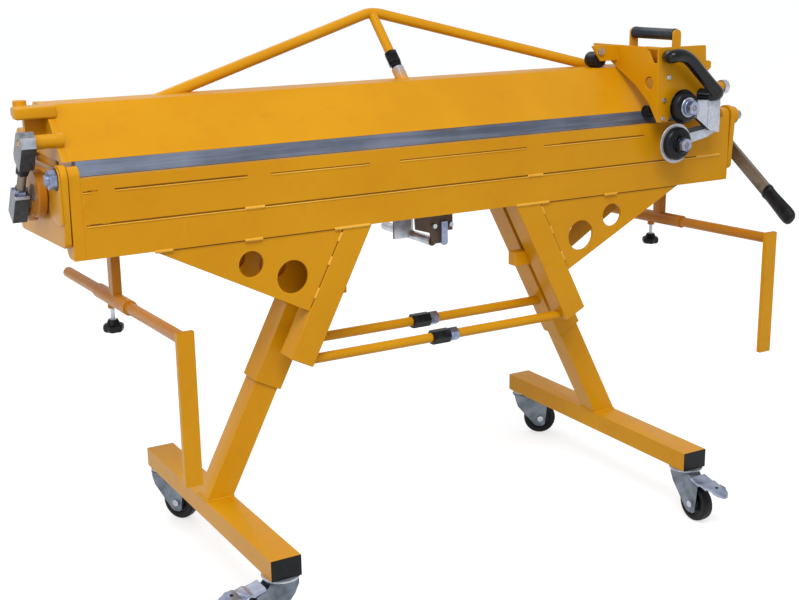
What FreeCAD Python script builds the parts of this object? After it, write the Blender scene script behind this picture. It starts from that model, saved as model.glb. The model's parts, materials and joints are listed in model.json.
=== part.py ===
import FreeCAD, Part
import math
import os

import Sketcher
from FreeCAD import Rotation, Vector

# Hand folding machine for sheet metal, in millimetres.
# X runs along the bend, Y away from the operator and Z up. The origin is on the
# floor under the middle of the footprint. Every driving size is a sheet cell.

SIZES = [
    # Bend line and fixed table
    ("table_height", 832.0),
    ("bend_line_y", -34.0),
    ("frame_half_length", 761.0),
    ("frame_plate", 12.0),
    ("table_plate", 6.0),
    ("table_depth", 244.0),
    ("bed_bar_depth", 40.0),
    ("bed_bar_height", 32.0),
    ("beam_setback", 42.0),
    ("beam_depth", 90.0),
    ("beam_height", 120.0),
    ("beam_wall", 5.0),
    ("frame_toe_reach", 16.0),
    ("frame_toe_drop", 120.0),
    ("frame_rear_drop", 132.0),
    ("hinge_ear", 24.0),
    ("hinge_pin_radius", 10.0),
    ("hinge_boss_radius", 20.0),
    ("hinge_boss_length", 14.0),
    ("hinge_washer_radius", 20.0),
    ("hinge_nut_radius", 17.5),
    ("hinge_nut_length", 13.0),
    ("left_tip_reach", 22.0),
    ("right_tip_reach", 31.0),
    # Clearances
    ("running_fit", 0.08),
    ("seat_gap", 0.3),
    ("side_gap", 2.0),
    ("cut_overrun", 5.0),
    # Clamp beam pivot, cross shaft and link pin, measured from the bend line
    ("pivot_back", 234.0),
    ("pivot_rise", 38.0),
    ("pivot_ear", 26.0),
    ("pivot_pin_radius", 10.0),
    ("pivot_head_length", 6.0),
    ("shaft_back", 92.0),
    ("shaft_drop", 35.0),
    ("shaft_radius", 15.0),
    ("link_pin_back", 40.0),
    ("link_pin_rise", 61.0),
    ("link_pin_radius", 8.0),
    ("link_boss_radius", 12.5),
    ("link_ear_radius", 13.0),
    # Clamp beam section
    ("nose_height", 26.0),
    ("nose_angle", 25.0),
    ("nose_setback", 0.5),
    ("slope_back", 98.0),
    ("slope_rise", 117.0),
    ("face_sheet", 8.0),
    ("clamp_back", 174.0),
    ("channel_wall", 8.0),
    ("strip_depth", 22.0),
    ("clamp_end_plate", 12.0),
    ("rail_size", 20.0),
    ("rail_left_overhang", 41.0),
    ("rail_right_overhang", 33.0),
    ("stub_radius", 12.0),
    ("stub_overhang", 22.0),
    ("stub_rise", 8.0),
    ("bracket_height", 32.0),
    # Truss on the clamp beam
    ("truss_radius", 11.0),
    ("truss_half_span", 541.0),
    ("truss_back", 282.0),
    ("truss_rise", 249.0),
    ("truss_end_back", 152.0),
    ("truss_end_rise", 106.0),
    ("truss_bend", 70.0),
    ("strut_sleeve", 116.0),
    ("strut_radius", 10.0),
    ("strut_thread_radius", 6.0),
    ("strut_nut_length", 29.0),
    ("strut_nut_radius", 12.5),
    ("strut_ring", 13.0),
    ("strut_stub_radius", 13.0),
    # Bending beam
    ("apron_depth", 45.0),
    ("apron_height", 143.0),
    ("apron_wall", 6.0),
    ("apron_face", 10.0),
    ("nose_bar_depth", 18.0),
    ("nose_bar_height", 34.0),
    ("apron_end_plate", 20.0),
    ("apron_ear", 20.0),
    ("seam_width", 3.0),
    ("seam_depth", 1.5),
    ("upper_seam_drop", 24.5),
    ("lower_seam_drop", 84.0),
    # Splayed arms and gussets of the bending beam
    ("splay_angle", 27.0),
    ("arm_inset", 10.7),
    ("arm_width", 54.0),
    ("arm_depth", 50.0),
    ("arm_wall", 4.0),
    ("arm_length", 289.0),
    ("gusset_inset", 123.5),
    ("gusset_drop", 156.0),
    ("gusset_plate", 6.0),
    ("gusset_setback", 3.0),
    ("gusset_hole_radius", 32.5),
    ("gusset_hole_share", 0.343),
    ("gusset_hole_drop", 83.5),
    ("small_hole_radius", 25.0),
    ("small_hole_share", 0.5466),
    ("small_hole_drop", 48.0),
    # Tie rods with their long adjusting nuts
    ("tie_radius", 10.0),
    ("front_tie_drop", 261.0),
    ("rear_tie_rise", 71.0),
    ("tie_gap", 12.0),
    ("tie_nut_length", 42.0),
    ("tie_nut_radius", 16.0),
    ("lock_nut_length", 20.0),
    ("lock_nut_radius", 15.0),
    ("tie_nut_x", -3.0),
    # Stand: sockets, plug-in legs and feet
    ("leg_foot_x", 485.5),
    ("leg_y", 53.0),
    ("socket_width", 60.0),
    ("socket_wall", 4.0),
    ("socket_drop", 333.0),
    ("leg_width", 50.0),
    ("leg_wall", 3.0),
    ("leg_plug_depth", 120.0),
    ("foot_width", 60.0),
    ("foot_height", 40.0),
    ("foot_wall", 3.0),
    ("foot_front_y", -279.0),
    ("foot_rear_y", 374.0),
    ("plug_plate", 2.0),
    ("plug_depth", 14.0),
    ("lug_reach", 47.0),
    ("lug_width", 57.0),
    ("lug_drop", 144.0),
    ("lug_height", 30.0),
    # Castors
    ("castor_height", 113.0),
    ("castor_inset", 26.0),
    ("castor_disc_radius", 32.0),
    ("castor_disc", 5.0),
    ("king_pin_radius", 6.0),
    ("crown_radius", 29.0),
    ("crown_height", 9.0),
    ("castor_trail", 38.0),
    ("wheel_radius", 40.0),
    ("wheel_width", 24.0),
    ("wheel_hub_width", 28.0),
    ("wheel_bore", 6.0),
    ("fork_sheet", 3.0),
    ("fork_gap", 29.0),
    ("pedal_pin_reach", 54.0),
    ("pedal_pin_z", 89.0),
    ("pedal_pin_radius", 3.0),
    ("pedal_hub_radius", 5.5),
    ("pedal_length", 73.6),
    ("pedal_width", 34.0),
    ("pedal_sheet", 3.0),
    ("pedal_angle", 8.0),
    # Sheet supports
    ("support_inset", 94.0),
    ("support_y", 56.0),
    ("right_support_setback", 40.0),
    ("post_offset", 40.0),
    ("support_drop", 117.0),
    ("support_tilt", 1.8),
    ("support_radius", 11.0),
    ("support_front", 380.0),
    ("support_rear", 282.0),
    ("sleeve_radius", 14.0),
    ("sleeve_front", 108.0),
    ("sleeve_rear", 72.0),
    ("post_width", 17.0),
    ("post_depth", 24.0),
    ("support_bar_width", 30.0),
    ("support_bar_depth", 10.0),
    ("support_bar_top", 14.0),
    ("support_bar_length", 265.0),
    ("knob_radius", 22.0),
    ("knob_height", 24.0),
    ("knob_lobe_radius", 7.5),
    ("knob_drop", 66.0),
    ("knob_stem_radius", 4.0),
    # Centre brace under the box beam
    ("brace_left_x", -40.0),
    ("brace_width", 92.0),
    ("brace_height", 89.0),
    ("brace_plate", 6.0),
    ("brace_rod_radius", 9.5),
    ("brace_rod_x", 4.0),
    ("brace_rod_drop", 84.0),
    ("brace_rod_length", 200.0),
    ("brace_flat_x", 29.0),
    ("brace_flat_width", 15.0),
    ("brace_flat_height", 50.0),
    ("brace_bolt_radius", 5.5),
    # Lever, cranks and links
    ("crank_radius", 62.5),
    ("crank_angle", 39.8),
    ("crank_disc_radius", 42.5),
    ("crank_eye_radius", 18.0),
    ("crank_left_thickness", 16.0),
    ("crank_stand_off", 5.0),
    ("web_thickness", 7.0),
    ("lever_stand_off", 2.0),
    ("lever_bar_thickness", 8.0),
    ("lever_bar_width", 32.0),
    ("lever_hub_radius", 25.0),
    ("lever_angle", 35.0),
    ("grip_start", 222.0),
    ("grip_end", 325.0),
    ("grip_width", 40.0),
    ("grip_thickness", 24.0),
    ("grip_round", 11.0),
    ("link_stand_off", 4.0),
    ("left_link_width", 26.0),
    ("upper_block_depth", 42.0),
    ("lower_block_depth", 33.0),
    ("link_overhang", 18.0),
    ("lower_overhang", 10.5),
    ("upper_block_length", 68.0),
    ("lower_block_length", 62.5),
    ("link_stud_radius", 8.0),
    ("link_nut_length", 20.0),
    ("link_nut_radius", 12.5),
    ("second_nut_length", 8.0),
    ("block_chamfer", 4.0),
    ("eye_chamfer", 13.0),
    ("right_link_width", 13.0),
    ("right_eye_radius", 16.0),
    ("right_rod_radius", 6.0),
    # Cutter carriage, placed by the outer face of its side plate
    ("carriage_inset", 231.0),
    ("carriage_plate", 6.0),
    ("carriage_reach", 48.0),
    ("carriage_rise", 166.0),
    ("carriage_gap", 6.0),
    ("carriage_width", 133.0),
    ("side_hole_back", 29.0),
    ("side_hole_drop", 76.5),
    ("side_hole_radius", 13.5),
    ("handle_x", 64.0),
    ("handle_rise", 24.0),
    ("handle_radius", 13.0),
    ("handle_setback", 16.0),
    ("handle_length", 146.0),
    ("strap_width", 22.0),
    ("strap_sheet", 5.0),
    ("bow_radius", 12.5),
    ("bow_standoff", 30.0),
    ("bow_bend", 34.0),
    ("bow_end_bend", 14.0),
    ("roller_radius", 17.0),
    ("roller_length", 38.0),
    ("roller_x", -42.0),
    ("roller_pin_radius", 5.0),
    ("tab_width", 70.0),
    ("tab_height", 34.0),
    ("tab_back", 90.0),
    ("upper_knife_radius", 37.5),
    ("upper_knife_x", 58.0),
    ("upper_knife_rise", 39.0),
    ("lower_knife_radius", 43.0),
    ("lower_knife_x", 45.0),
    ("lower_knife_drop", 40.0),
    ("knife_thickness", 5.0),
    ("knife_hub_radius", 33.0),
    ("lower_hub_radius", 36.0),
    ("knife_core_radius", 24.0),
    ("knife_collar_length", 12.0),
    ("knife_hub_length", 26.0),
    ("knife_pin_radius", 6.0),
    ("knife_head_radius", 14.0),
    ("knife_head_length", 10.0),
    ("block_inset", 97.0),
    ("block_width", 67.0),
    ("block_slot", 11.0),
    ("block_drop", 24.0),
    ("block_arm_end", 15.0),
    ("block_front", 20.0),
    ("block_arm", 8.0),
    ("skid_radius", 13.0),
    ("skid_length", 34.0),
]

SIDES = ((-1, "left"), (1, "right"))
PLANES = {"floor": "XY_Plane", "front": "XZ_Plane", "side": "YZ_Plane"}

doc = FreeCAD.newDocument("folding_machine")
sheet = doc.addObject("Spreadsheet::Sheet", "Dims")
for row, (alias, number) in enumerate(SIZES, 1):
    sheet.set(f"A{row}", alias)
    sheet.set(f"B{row}", str(number))
    sheet.setAlias(f"B{row}", alias)
doc.recompute()


class Size:
    """A number that keeps the sheet formula it is worked out from."""

    def __init__(self, value, formula):
        self.value = value
        self.formula = formula

    def __add__(self, other):
        return combine(self, "+", other)

    def __radd__(self, other):
        return combine(other, "+", self)

    def __sub__(self, other):
        return combine(self, "-", other)

    def __rsub__(self, other):
        return combine(other, "-", self)

    def __mul__(self, other):
        return combine(self, "*", other)

    def __rmul__(self, other):
        return combine(other, "*", self)

    def __truediv__(self, other):
        return combine(self, "/", other)

    def __rtruediv__(self, other):
        return combine(other, "/", self)

    def __neg__(self):
        return combine(0, "-", self)


def as_size(number):
    if isinstance(number, Size):
        return number
    return Size(float(number), repr(float(number)))


def combine(left, sign, right):
    a = as_size(left)
    b = as_size(right)
    results = {
        "+": lambda: a.value + b.value,
        "-": lambda: a.value - b.value,
        "*": lambda: a.value * b.value,
        "/": lambda: a.value / b.value,
    }
    return Size(results[sign](), f"({a.formula} {sign} {b.formula})")


def sine(angle):
    return Size(math.sin(math.radians(angle.value)), f"sin({angle.formula} * 1 deg)")


def cosine(angle):
    return Size(math.cos(math.radians(angle.value)), f"cos({angle.formula} * 1 deg)")


def hypotenuse(a, b):
    squares = a * a + b * b
    return Size(math.sqrt(squares.value), f"sqrt({squares.formula})")


def slant(rise, run):
    """Angle in degrees whose tangent is rise / run."""
    ratio = rise / run
    value = math.degrees(math.atan(ratio.value))
    return Size(value, f"(atan({ratio.formula}) / 1 deg)")


class Dims:
    """The sheet's cells as attributes."""

    def __getattr__(self, alias):
        return Size(float(sheet.get(alias)), f"Dims.{alias}")


dim = Dims()


# Helpers that make objects of the document and bind them to the sheet


def bind(thing, prop, number):
    thing.setExpression(prop, as_size(number).formula)


def put(thing, at, axis=None, angle=None):
    if axis is not None:
        thing.Placement = FreeCAD.Placement(Vector(0, 0, 0), Rotation(axis, 1))
        bind(thing, "Placement.Rotation.Angle", angle)
    for letter, number in zip("xyz", at):
        bind(thing, f"Placement.Base.{letter}", number)
    return thing


def box(name, sizes, at, axis=None, angle=None):
    thing = doc.addObject("Part::Box", name)
    for prop, number in zip(("Length", "Width", "Height"), sizes):
        bind(thing, prop, number)
    return put(thing, at, axis, angle)


QUARTERS = {
    "x": (Vector(0, 1, 0), 90),
    "y": (Vector(1, 0, 0), -90),
    "z": (Vector(0, 0, 1), 0),
}


def rod(name, radius, length, at, along="z"):
    thing = doc.addObject("Part::Cylinder", name)
    bind(thing, "Radius", radius)
    bind(thing, "Height", length)
    return put(thing, at, *QUARTERS[along])


def hexagon(name, radius, length, at, along="z"):
    """Hexagonal prism; the radius is to its corners."""
    thing = doc.addObject("Part::Prism", name)
    thing.Polygon = 6
    bind(thing, "Circumradius", radius)
    bind(thing, "Height", length)
    return put(thing, at, *QUARTERS[along])


def cone(name, radius_low, radius_high, length, at, along="z"):
    thing = doc.addObject("Part::Cone", name)
    bind(thing, "Radius1", radius_low)
    bind(thing, "Radius2", radius_high)
    bind(thing, "Height", length)
    return put(thing, at, *QUARTERS[along])


def join(name, pieces):
    thing = doc.addObject("Part::MultiFuse", name)
    thing.Shapes = pieces
    thing.Refine = True
    return thing


def cut(name, base, tools):
    tool = tools[0] if len(tools) == 1 else join(name + "_tools", tools)
    thing = doc.addObject("Part::Cut", name)
    thing.Base = base
    thing.Tool = tool
    thing.Refine = True
    return thing


def group(name, pieces):
    """Several separate solids under one name."""
    thing = doc.addObject("Part::Compound", name)
    thing.Links = pieces
    return thing


def sketch_of(body, plane, outline, circles):
    """Closed outline with every corner held by two bound distances."""
    sketch = body.newObject("Sketcher::SketchObject", "Outline")
    role = PLANES[plane]
    support = [part for part in body.Origin.OriginFeatures if part.Role == role][0]
    sketch.AttachmentSupport = (support, [""])
    sketch.MapMode = "FlatFace"
    corners = [(as_size(u), as_size(v)) for u, v in outline]
    count = len(corners)
    for i, (u, v) in enumerate(corners):
        next_u, next_v = corners[(i + 1) % count]
        start = Vector(u.value, v.value, 0)
        end = Vector(next_u.value, next_v.value, 0)
        sketch.addGeometry(Part.LineSegment(start, end), False)
    for i in range(count):
        sketch.addConstraint(Sketcher.Constraint("Coincident", i, 2, (i + 1) % count, 1))
    for i, (u, v) in enumerate(corners):
        hold(sketch, i, 1, u, v)
    for u, v, radius in circles:
        u, v, radius = as_size(u), as_size(v), as_size(radius)
        circle = Part.Circle(Vector(u.value, v.value, 0), Vector(0, 0, 1), radius.value)
        index = sketch.addGeometry(circle, False)
        hold(sketch, index, 3, u, v)
        constraint = sketch.addConstraint(Sketcher.Constraint("Radius", index, radius.value))
        sketch.setExpression(f"Constraints[{constraint}]", radius.formula)
    return sketch


def hold(sketch, index, point, u, v):
    for kind, number in (("DistanceX", u), ("DistanceY", v)):
        constraint = sketch.addConstraint(Sketcher.Constraint(kind, index, point, number.value))
        sketch.setExpression(f"Constraints[{constraint}]", number.formula)


NORMALS = {"floor": Vector(0, 0, 1), "front": Vector(0, -1, 0), "side": Vector(1, 0, 0)}


def corner_point(plane, u, v):
    if plane == "floor":
        return Vector(u, v, 0)
    if plane == "front":
        return Vector(u, 0, v)
    return Vector(0, u, v)


def plate(name, plane, outline, thickness, at=(0, 0, 0), circles=(), rounds=(), turn=None):
    """Padded outline; a front plate grows towards -Y, a side plate towards +X."""
    body = doc.addObject("PartDesign::Body", name)
    sketch = sketch_of(body, plane, outline, circles)
    pad = body.newObject("PartDesign::Pad", name + "_pad")
    pad.Profile = sketch
    bind(pad, "Length", thickness)
    doc.recompute()
    last = pad
    for corners, radius in rounds:
        radius = as_size(radius)
        names = [edge_name(last.Shape, plane, *outline[i]) for i in corners]
        fillet = body.newObject("PartDesign::Fillet", name + "_round")
        fillet.Base = (last, names)
        bind(fillet, "Radius", radius)
        doc.recompute()
        last = fillet
    body.Tip = last
    if turn is None:
        return put(body, at)
    return put(body, at, *turn)


def edge_name(shape, plane, u, v):
    """The straight edge that stands square to the plane at one corner."""
    spot = corner_point(plane, as_size(u).value, as_size(v).value)
    normal = NORMALS[plane]
    for i, edge in enumerate(shape.Edges, 1):
        ends = [vertex.Point for vertex in edge.Vertexes]
        if len(ends) != 2:
            continue
        run = (ends[1] - ends[0]).normalize()
        gap = (ends[0] - spot).cross(normal).Length
        if abs(run.dot(normal)) > 0.999 and gap < 0.01:
            return f"Edge{i}"
    raise ValueError(f"no edge at {spot}")


def turned(name, outline, at, along="z"):
    """Outline of (radius, height) pairs, turned about the height axis."""
    body = doc.addObject("PartDesign::Body", name)
    sketch = sketch_of(body, "front", outline, ())
    spin = body.newObject("PartDesign::Revolution", name + "_turn")
    spin.Profile = sketch
    spin.ReferenceAxis = (sketch, ["V_Axis"])
    spin.Angle = 360
    body.Tip = spin
    return put(body, at, *QUARTERS[along])


def rounded_box(name, sizes, at, radius, axis=None, angle=None):
    """Box with all twelve edges rounded."""
    base = box(name + "_block", sizes, (0, 0, 0))
    doc.recompute()
    thing = doc.addObject("Part::Fillet", name)
    thing.Base = base
    thing.Edges = [(i, radius.value, radius.value) for i in range(1, 13)]
    return put(thing, at, axis, angle)


def bent_tube(name, points, bends, radius):
    """Round bar along straight runs that tangent arcs join."""
    edges = []
    start = points[0]
    for i in range(1, len(points) - 1):
        corner = points[i]
        back = (points[i - 1] - corner).normalize()
        ahead = (points[i + 1] - corner).normalize()
        half = back.getAngle(ahead) / 2
        reach = bends[i - 1] / math.tan(half)
        first = corner + back * reach
        last = corner + ahead * reach
        inward = (back + ahead).normalize()
        middle = corner + inward * (bends[i - 1] / math.sin(half) - bends[i - 1])
        edges.append(Part.LineSegment(start, first).toShape())
        edges.append(Part.Arc(first, middle, last).toShape())
        start = last
    edges.append(Part.LineSegment(start, points[-1]).toShape())
    path = Part.Wire(edges)
    heading = (points[1] - points[0]).normalize()
    ring = Part.Wire([Part.Circle(points[0], heading, radius).toShape()])
    thing = doc.addObject("Part::Feature", name)
    thing.Shape = path.makePipeShell([ring], True, False)
    return thing


nodes = []


def node(thing, name):
    thing.Label = name
    nodes.append((name, thing))
    return thing


# Places worked out from the driving sizes

bend_y = dim.bend_line_y
bend_z = dim.table_height
shaft_y = bend_y + dim.shaft_back
shaft_z = bend_z - dim.shaft_drop
pivot_y = bend_y + dim.pivot_back
pivot_z = bend_z + dim.pivot_rise
pin_y = bend_y + dim.link_pin_back
pin_z = bend_z + dim.link_pin_rise
crank_y = shaft_y + dim.crank_radius * cosine(dim.crank_angle)
crank_z = shaft_z - dim.crank_radius * sine(dim.crank_angle)
link_length = hypotenuse(crank_y - pin_y, pin_z - crank_z)
link_angle = slant(crank_y - pin_y, pin_z - crank_z)
frame_outer = dim.frame_half_length + dim.frame_plate
beam_front = bend_y + dim.beam_setback
beam_bottom = bend_z - dim.table_plate - dim.beam_height
apron_front = bend_y - dim.nose_bar_depth
apron_back = apron_front + dim.apron_depth
apron_bottom = bend_z - dim.apron_height
apron_half = dim.frame_half_length - dim.apron_end_plate - dim.side_gap
apron_end = apron_half + dim.apron_end_plate
bed_half = apron_half - dim.side_gap
clamp_half = dim.frame_half_length - dim.side_gap / 2 - dim.clamp_end_plate
rail_left = frame_outer + dim.rail_left_overhang
rail_right = frame_outer + dim.rail_right_overhang
stub_x = frame_outer + dim.stub_overhang
support_x = dim.frame_half_length - dim.support_inset
support_z = beam_bottom - dim.support_drop
support_places = {-1: dim.support_y, 1: dim.support_y + dim.right_support_setback}
crank_left_face = frame_outer + dim.crank_stand_off + dim.crank_left_thickness
left_link_x = crank_left_face + dim.link_stand_off
inner_web_x = frame_outer + dim.side_gap
right_link_x = inner_web_x + dim.web_thickness + dim.side_gap
outer_web_x = right_link_x + dim.right_link_width + dim.side_gap
lever_x = outer_web_x + dim.web_thickness + dim.lever_stand_off
tangent = sine(dim.splay_angle) / cosine(dim.splay_angle)
foot_bottom = dim.castor_height
foot_top = dim.castor_height + dim.foot_height
socket_bottom = beam_bottom - dim.socket_drop
lug_z = apron_bottom - dim.lug_drop
front_tie_z = apron_bottom - dim.front_tie_drop
rear_tie_z = socket_bottom + dim.rear_tie_rise
carriage_x = clamp_half - dim.carriage_inset
carriage_front = bend_y - dim.carriage_reach
carriage_top = bend_z + dim.carriage_rise
carriage_bottom = bend_z + dim.carriage_gap
handle_z = carriage_top + dim.handle_rise
handle_front = carriage_front + dim.handle_setback
handle_rear = handle_front + dim.handle_length
tab_y = bend_y + dim.tab_back
upper_knife_z = bend_z + dim.upper_knife_rise
lower_knife_z = bend_z - dim.lower_knife_drop


def leg_x(z):
    """Distance of a leg's centre line from the middle, at one height."""
    return dim.leg_foot_x - (z - foot_top) * tangent


arm_top_x = leg_x(apron_bottom) - dim.arm_inset
gusset_reach = apron_half - dim.gusset_inset
gusset_run = gusset_reach - arm_top_x
gusset_hole_x = arm_top_x + dim.gusset_hole_share * gusset_run
small_hole_x = arm_top_x + dim.small_hole_share * gusset_run


def arm_x(z):
    return arm_top_x + (apron_bottom - z) * tangent


# Fixed table


def make_table_beam():
    length = 2 * dim.frame_half_length
    outer = box("beam_outer", (length, dim.beam_depth, dim.beam_height),
                (-dim.frame_half_length, beam_front, beam_bottom))
    inner = box("beam_inner",
                (length + 2 * dim.cut_overrun, dim.beam_depth - 2 * dim.beam_wall,
                 dim.beam_height - 2 * dim.beam_wall),
                (-dim.frame_half_length - dim.cut_overrun, beam_front + dim.beam_wall,
                 beam_bottom + dim.beam_wall))
    node(cut("beam", outer, [inner]), "table_beam")


def make_table_top():
    node(box("top", (2 * dim.frame_half_length, dim.table_depth, dim.table_plate),
             (-dim.frame_half_length, bend_y + dim.bed_bar_depth, bend_z - dim.table_plate)),
         "table_top")


def make_bed_bar():
    outline = [
        (bend_y, bend_z),
        (bend_y + dim.bed_bar_depth, bend_z),
        (bend_y + dim.bed_bar_depth, bend_z - dim.bed_bar_height),
        (bend_y + dim.bed_bar_height / 2, bend_z - dim.bed_bar_height),
        (bend_y, bend_z - dim.bed_bar_height / 2),
    ]
    node(plate("bed_bar", "side", outline, 2 * bed_half, (-bed_half, 0, 0)), "bed_edge_bar")


def make_frame_ends():
    ear = dim.hinge_ear
    rear = bend_y + dim.bed_bar_depth + dim.table_depth
    outline = [
        (bend_y - ear, bend_z + ear),
        (bend_y + ear, bend_z + ear),
        (bend_y + ear, bend_z),
        (pivot_y - dim.pivot_ear * 2, bend_z),
        (pivot_y - dim.pivot_ear, pivot_z + dim.pivot_ear),
        (pivot_y + dim.pivot_ear, pivot_z + dim.pivot_ear),
        (rear, bend_z - dim.table_plate),
        (rear, bend_z - dim.frame_rear_drop),
        (bend_y - dim.frame_toe_reach, bend_z - dim.frame_toe_drop),
    ]
    circles = [
        (bend_y, bend_z, dim.hinge_pin_radius + dim.running_fit),
        (pivot_y, pivot_z, dim.pivot_pin_radius + dim.running_fit),
        (shaft_y, shaft_z, dim.shaft_radius + dim.running_fit),
    ]
    rounds = [((0, 1), ear - dim.side_gap), ((4, 5), dim.pivot_ear - dim.side_gap),
              ((7, 8), dim.frame_plate)]
    left = plate("frame_left", "side", outline, dim.frame_plate,
                 (-frame_outer, 0, 0), circles, rounds)
    right = plate("frame_right", "side", outline, dim.frame_plate,
                  (dim.frame_half_length, 0, 0), circles, rounds)
    boss = rod("hinge_boss", dim.hinge_boss_radius, dim.hinge_boss_length,
               (frame_outer, bend_y, bend_z), "x")
    bore = rod("hinge_boss_bore", dim.hinge_pin_radius + dim.running_fit,
               dim.hinge_boss_length + 2 * dim.cut_overrun,
               (frame_outer - dim.cut_overrun, bend_y, bend_z), "x")
    bossed = join("frame_right_bossed", [right, cut("hinge_boss_ring", boss, [bore])])
    node(group("frame_plates", [left, bossed]), "frame_ends")


def make_hinge_bolts():
    """Bend hinge bolts at both ends and the bolts of the clamp beam's pivots."""
    start = apron_half + dim.seat_gap
    left_tip = frame_outer + dim.left_tip_reach
    right_tip = frame_outer + dim.right_tip_reach
    washer = frame_outer + 4
    nut = dim.hinge_nut_length
    left_pin = rod("hinge_pin_left", dim.hinge_pin_radius, left_tip - start,
                   (-left_tip, bend_y, bend_z), "x")
    left_washer = rod("hinge_washer_left", dim.hinge_washer_radius, 4,
                      (-washer, bend_y, bend_z), "x")
    left_nut = hexagon("hinge_nut_left", dim.hinge_nut_radius, nut,
                       (-washer - nut, bend_y, bend_z), "x")
    right_pin = rod("hinge_pin_right", dim.hinge_pin_radius, right_tip - start,
                    (start, bend_y, bend_z), "x")
    pieces = [join("hinge_bolt_left", [left_pin, left_washer, left_nut]), right_pin]
    inner = clamp_half - dim.side_gap / 2
    for side, word in SIDES:
        length = frame_outer - inner
        pin_x = inner if side > 0 else -frame_outer
        head_length = dim.pivot_head_length
        head_x = frame_outer if side > 0 else -frame_outer - head_length
        pin = rod(f"pivot_pin_{word}", dim.pivot_pin_radius, length, (pin_x, pivot_y, pivot_z), "x")
        head = hexagon(f"pivot_head_{word}", dim.hinge_nut_radius, head_length,
                       (head_x, pivot_y, pivot_z), "x")
        pieces.append(join(f"pivot_bolt_{word}", [pin, head]))
    node(group("bolts", pieces), "hinge_bolts")


# Stand


def square_tube(name, side, foot_x, foot_z, start, length, width, depth_y, depth, wall):
    """Square tube that leans towards the middle from a point on its centre line."""
    lean = dim.splay_angle * -side
    axis = Vector(0, 1, 0)
    sin_lean = sine(dim.splay_angle) * -side
    cos_lean = cosine(dim.splay_angle)

    def at(across, up):
        x = side * foot_x + sin_lean * up + cos_lean * across
        z = foot_z + cos_lean * up - sin_lean * across
        return x, z

    x, z = at(-width / 2, start)
    outer = box(name + "_outer", (width, depth, length), (x, depth_y, z), axis, lean)
    x, z = at(-width / 2 + wall, start - dim.cut_overrun)
    inner = box(name + "_inner",
                (width - 2 * wall, depth - 2 * wall, length + 2 * dim.cut_overrun),
                (x, depth_y + wall, z), axis, lean)
    return outer, inner


def make_leg_sockets():
    depth_y = dim.leg_y - dim.socket_width / 2
    start = (socket_bottom - foot_top) / cosine(dim.splay_angle)
    end = (beam_bottom - foot_top) / cosine(dim.splay_angle) + dim.socket_width / 2
    for side, word in SIDES:
        outer, inner = square_tube(f"socket_{word}", side, dim.leg_foot_x, foot_top, start,
                                   end - start, dim.socket_width, depth_y, dim.socket_width,
                                   dim.socket_wall)
        tube = cut(f"socket_tube_{word}", outer, [inner])
        gusset_z = apron_bottom - dim.gusset_drop
        inside = leg_x(beam_bottom) + dim.socket_width / 2 / cosine(dim.splay_angle)
        low = leg_x(gusset_z) + dim.socket_width / 2 / cosine(dim.splay_angle)
        outline = [(side * (inside - 1), beam_bottom), (side * gusset_reach, beam_bottom),
                   (side * (low - 1), gusset_z)]
        circles = [
            (side * (gusset_hole_x + 8), apron_bottom - dim.gusset_hole_drop + 13,
             dim.gusset_hole_radius - 3),
            (side * (small_hole_x + 6), apron_bottom - dim.small_hole_drop + 1,
             dim.small_hole_radius),
        ]
        gusset = plate(f"rear_gusset_{word}", "front", outline, dim.gusset_plate,
                       (0, depth_y + dim.gusset_plate, 0), circles)
        lug_front = apron_front + dim.arm_depth + dim.seat_gap
        lug_inner = leg_x(lug_z) - dim.socket_width / 2 / cosine(dim.splay_angle) - dim.lug_reach
        lug_x = lug_inner if side > 0 else -lug_inner - dim.lug_width
        lug = box(f"lug_{word}", (dim.lug_width, depth_y - lug_front + 1, dim.lug_height),
                  (lug_x, lug_front, lug_z))
        above = box(f"socket_trim_{word}",
                    (4 * dim.socket_width, 2 * dim.socket_width, 2 * dim.socket_width),
                    (side * leg_x(beam_bottom) - 2 * dim.socket_width,
                     depth_y - dim.socket_width / 2, beam_bottom))
        socket = cut(f"socket_trimmed_{word}", join(f"socket_welded_{word}", [tube, lug]), [above])
        node(join(f"socket_whole_{word}", [socket, gusset]), f"leg_socket_{word}")


def make_legs():
    inside = dim.socket_width - 2 * dim.socket_wall - 2 * dim.seat_gap
    width = Size(min(dim.leg_width.value, inside.value), f"min({dim.leg_width.formula}; {inside.formula})")
    depth_y = dim.leg_y - width / 2
    reach = (socket_bottom - foot_top) / cosine(dim.splay_angle) + dim.leg_plug_depth
    start = -dim.leg_width / 2
    for side, word in SIDES:
        outer, inner = square_tube(f"leg_{word}", side, dim.leg_foot_x, foot_top, start,
                                   reach - start, width, depth_y, width, dim.leg_wall)
        below = box(f"leg_trim_{word}", (4 * dim.leg_width, 2 * dim.leg_width, 2 * dim.leg_width),
                    (side * dim.leg_foot_x - 2 * dim.leg_width, dim.leg_y - dim.leg_width,
                     foot_top - 2 * dim.leg_width))
        tube = cut(f"leg_tube_{word}", outer, [inner, below])
        length = dim.foot_rear_y - dim.foot_front_y
        left_x = side * dim.leg_foot_x - dim.foot_width / 2
        beam = box(f"foot_beam_{word}", (dim.foot_width, length, dim.foot_height),
                   (left_x, dim.foot_front_y, foot_bottom))
        hollow = box(f"foot_hollow_{word}",
                     (dim.foot_width - 2 * dim.foot_wall, length + 2 * dim.cut_overrun,
                      dim.foot_height - 2 * dim.foot_wall),
                     (left_x + dim.foot_wall, dim.foot_front_y - dim.cut_overrun,
                      foot_bottom + dim.foot_wall))
        foot = cut(f"foot_{word}", beam, [hollow])
        node(join(f"leg_whole_{word}", [tube, foot]), f"leg_{word}")


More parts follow.
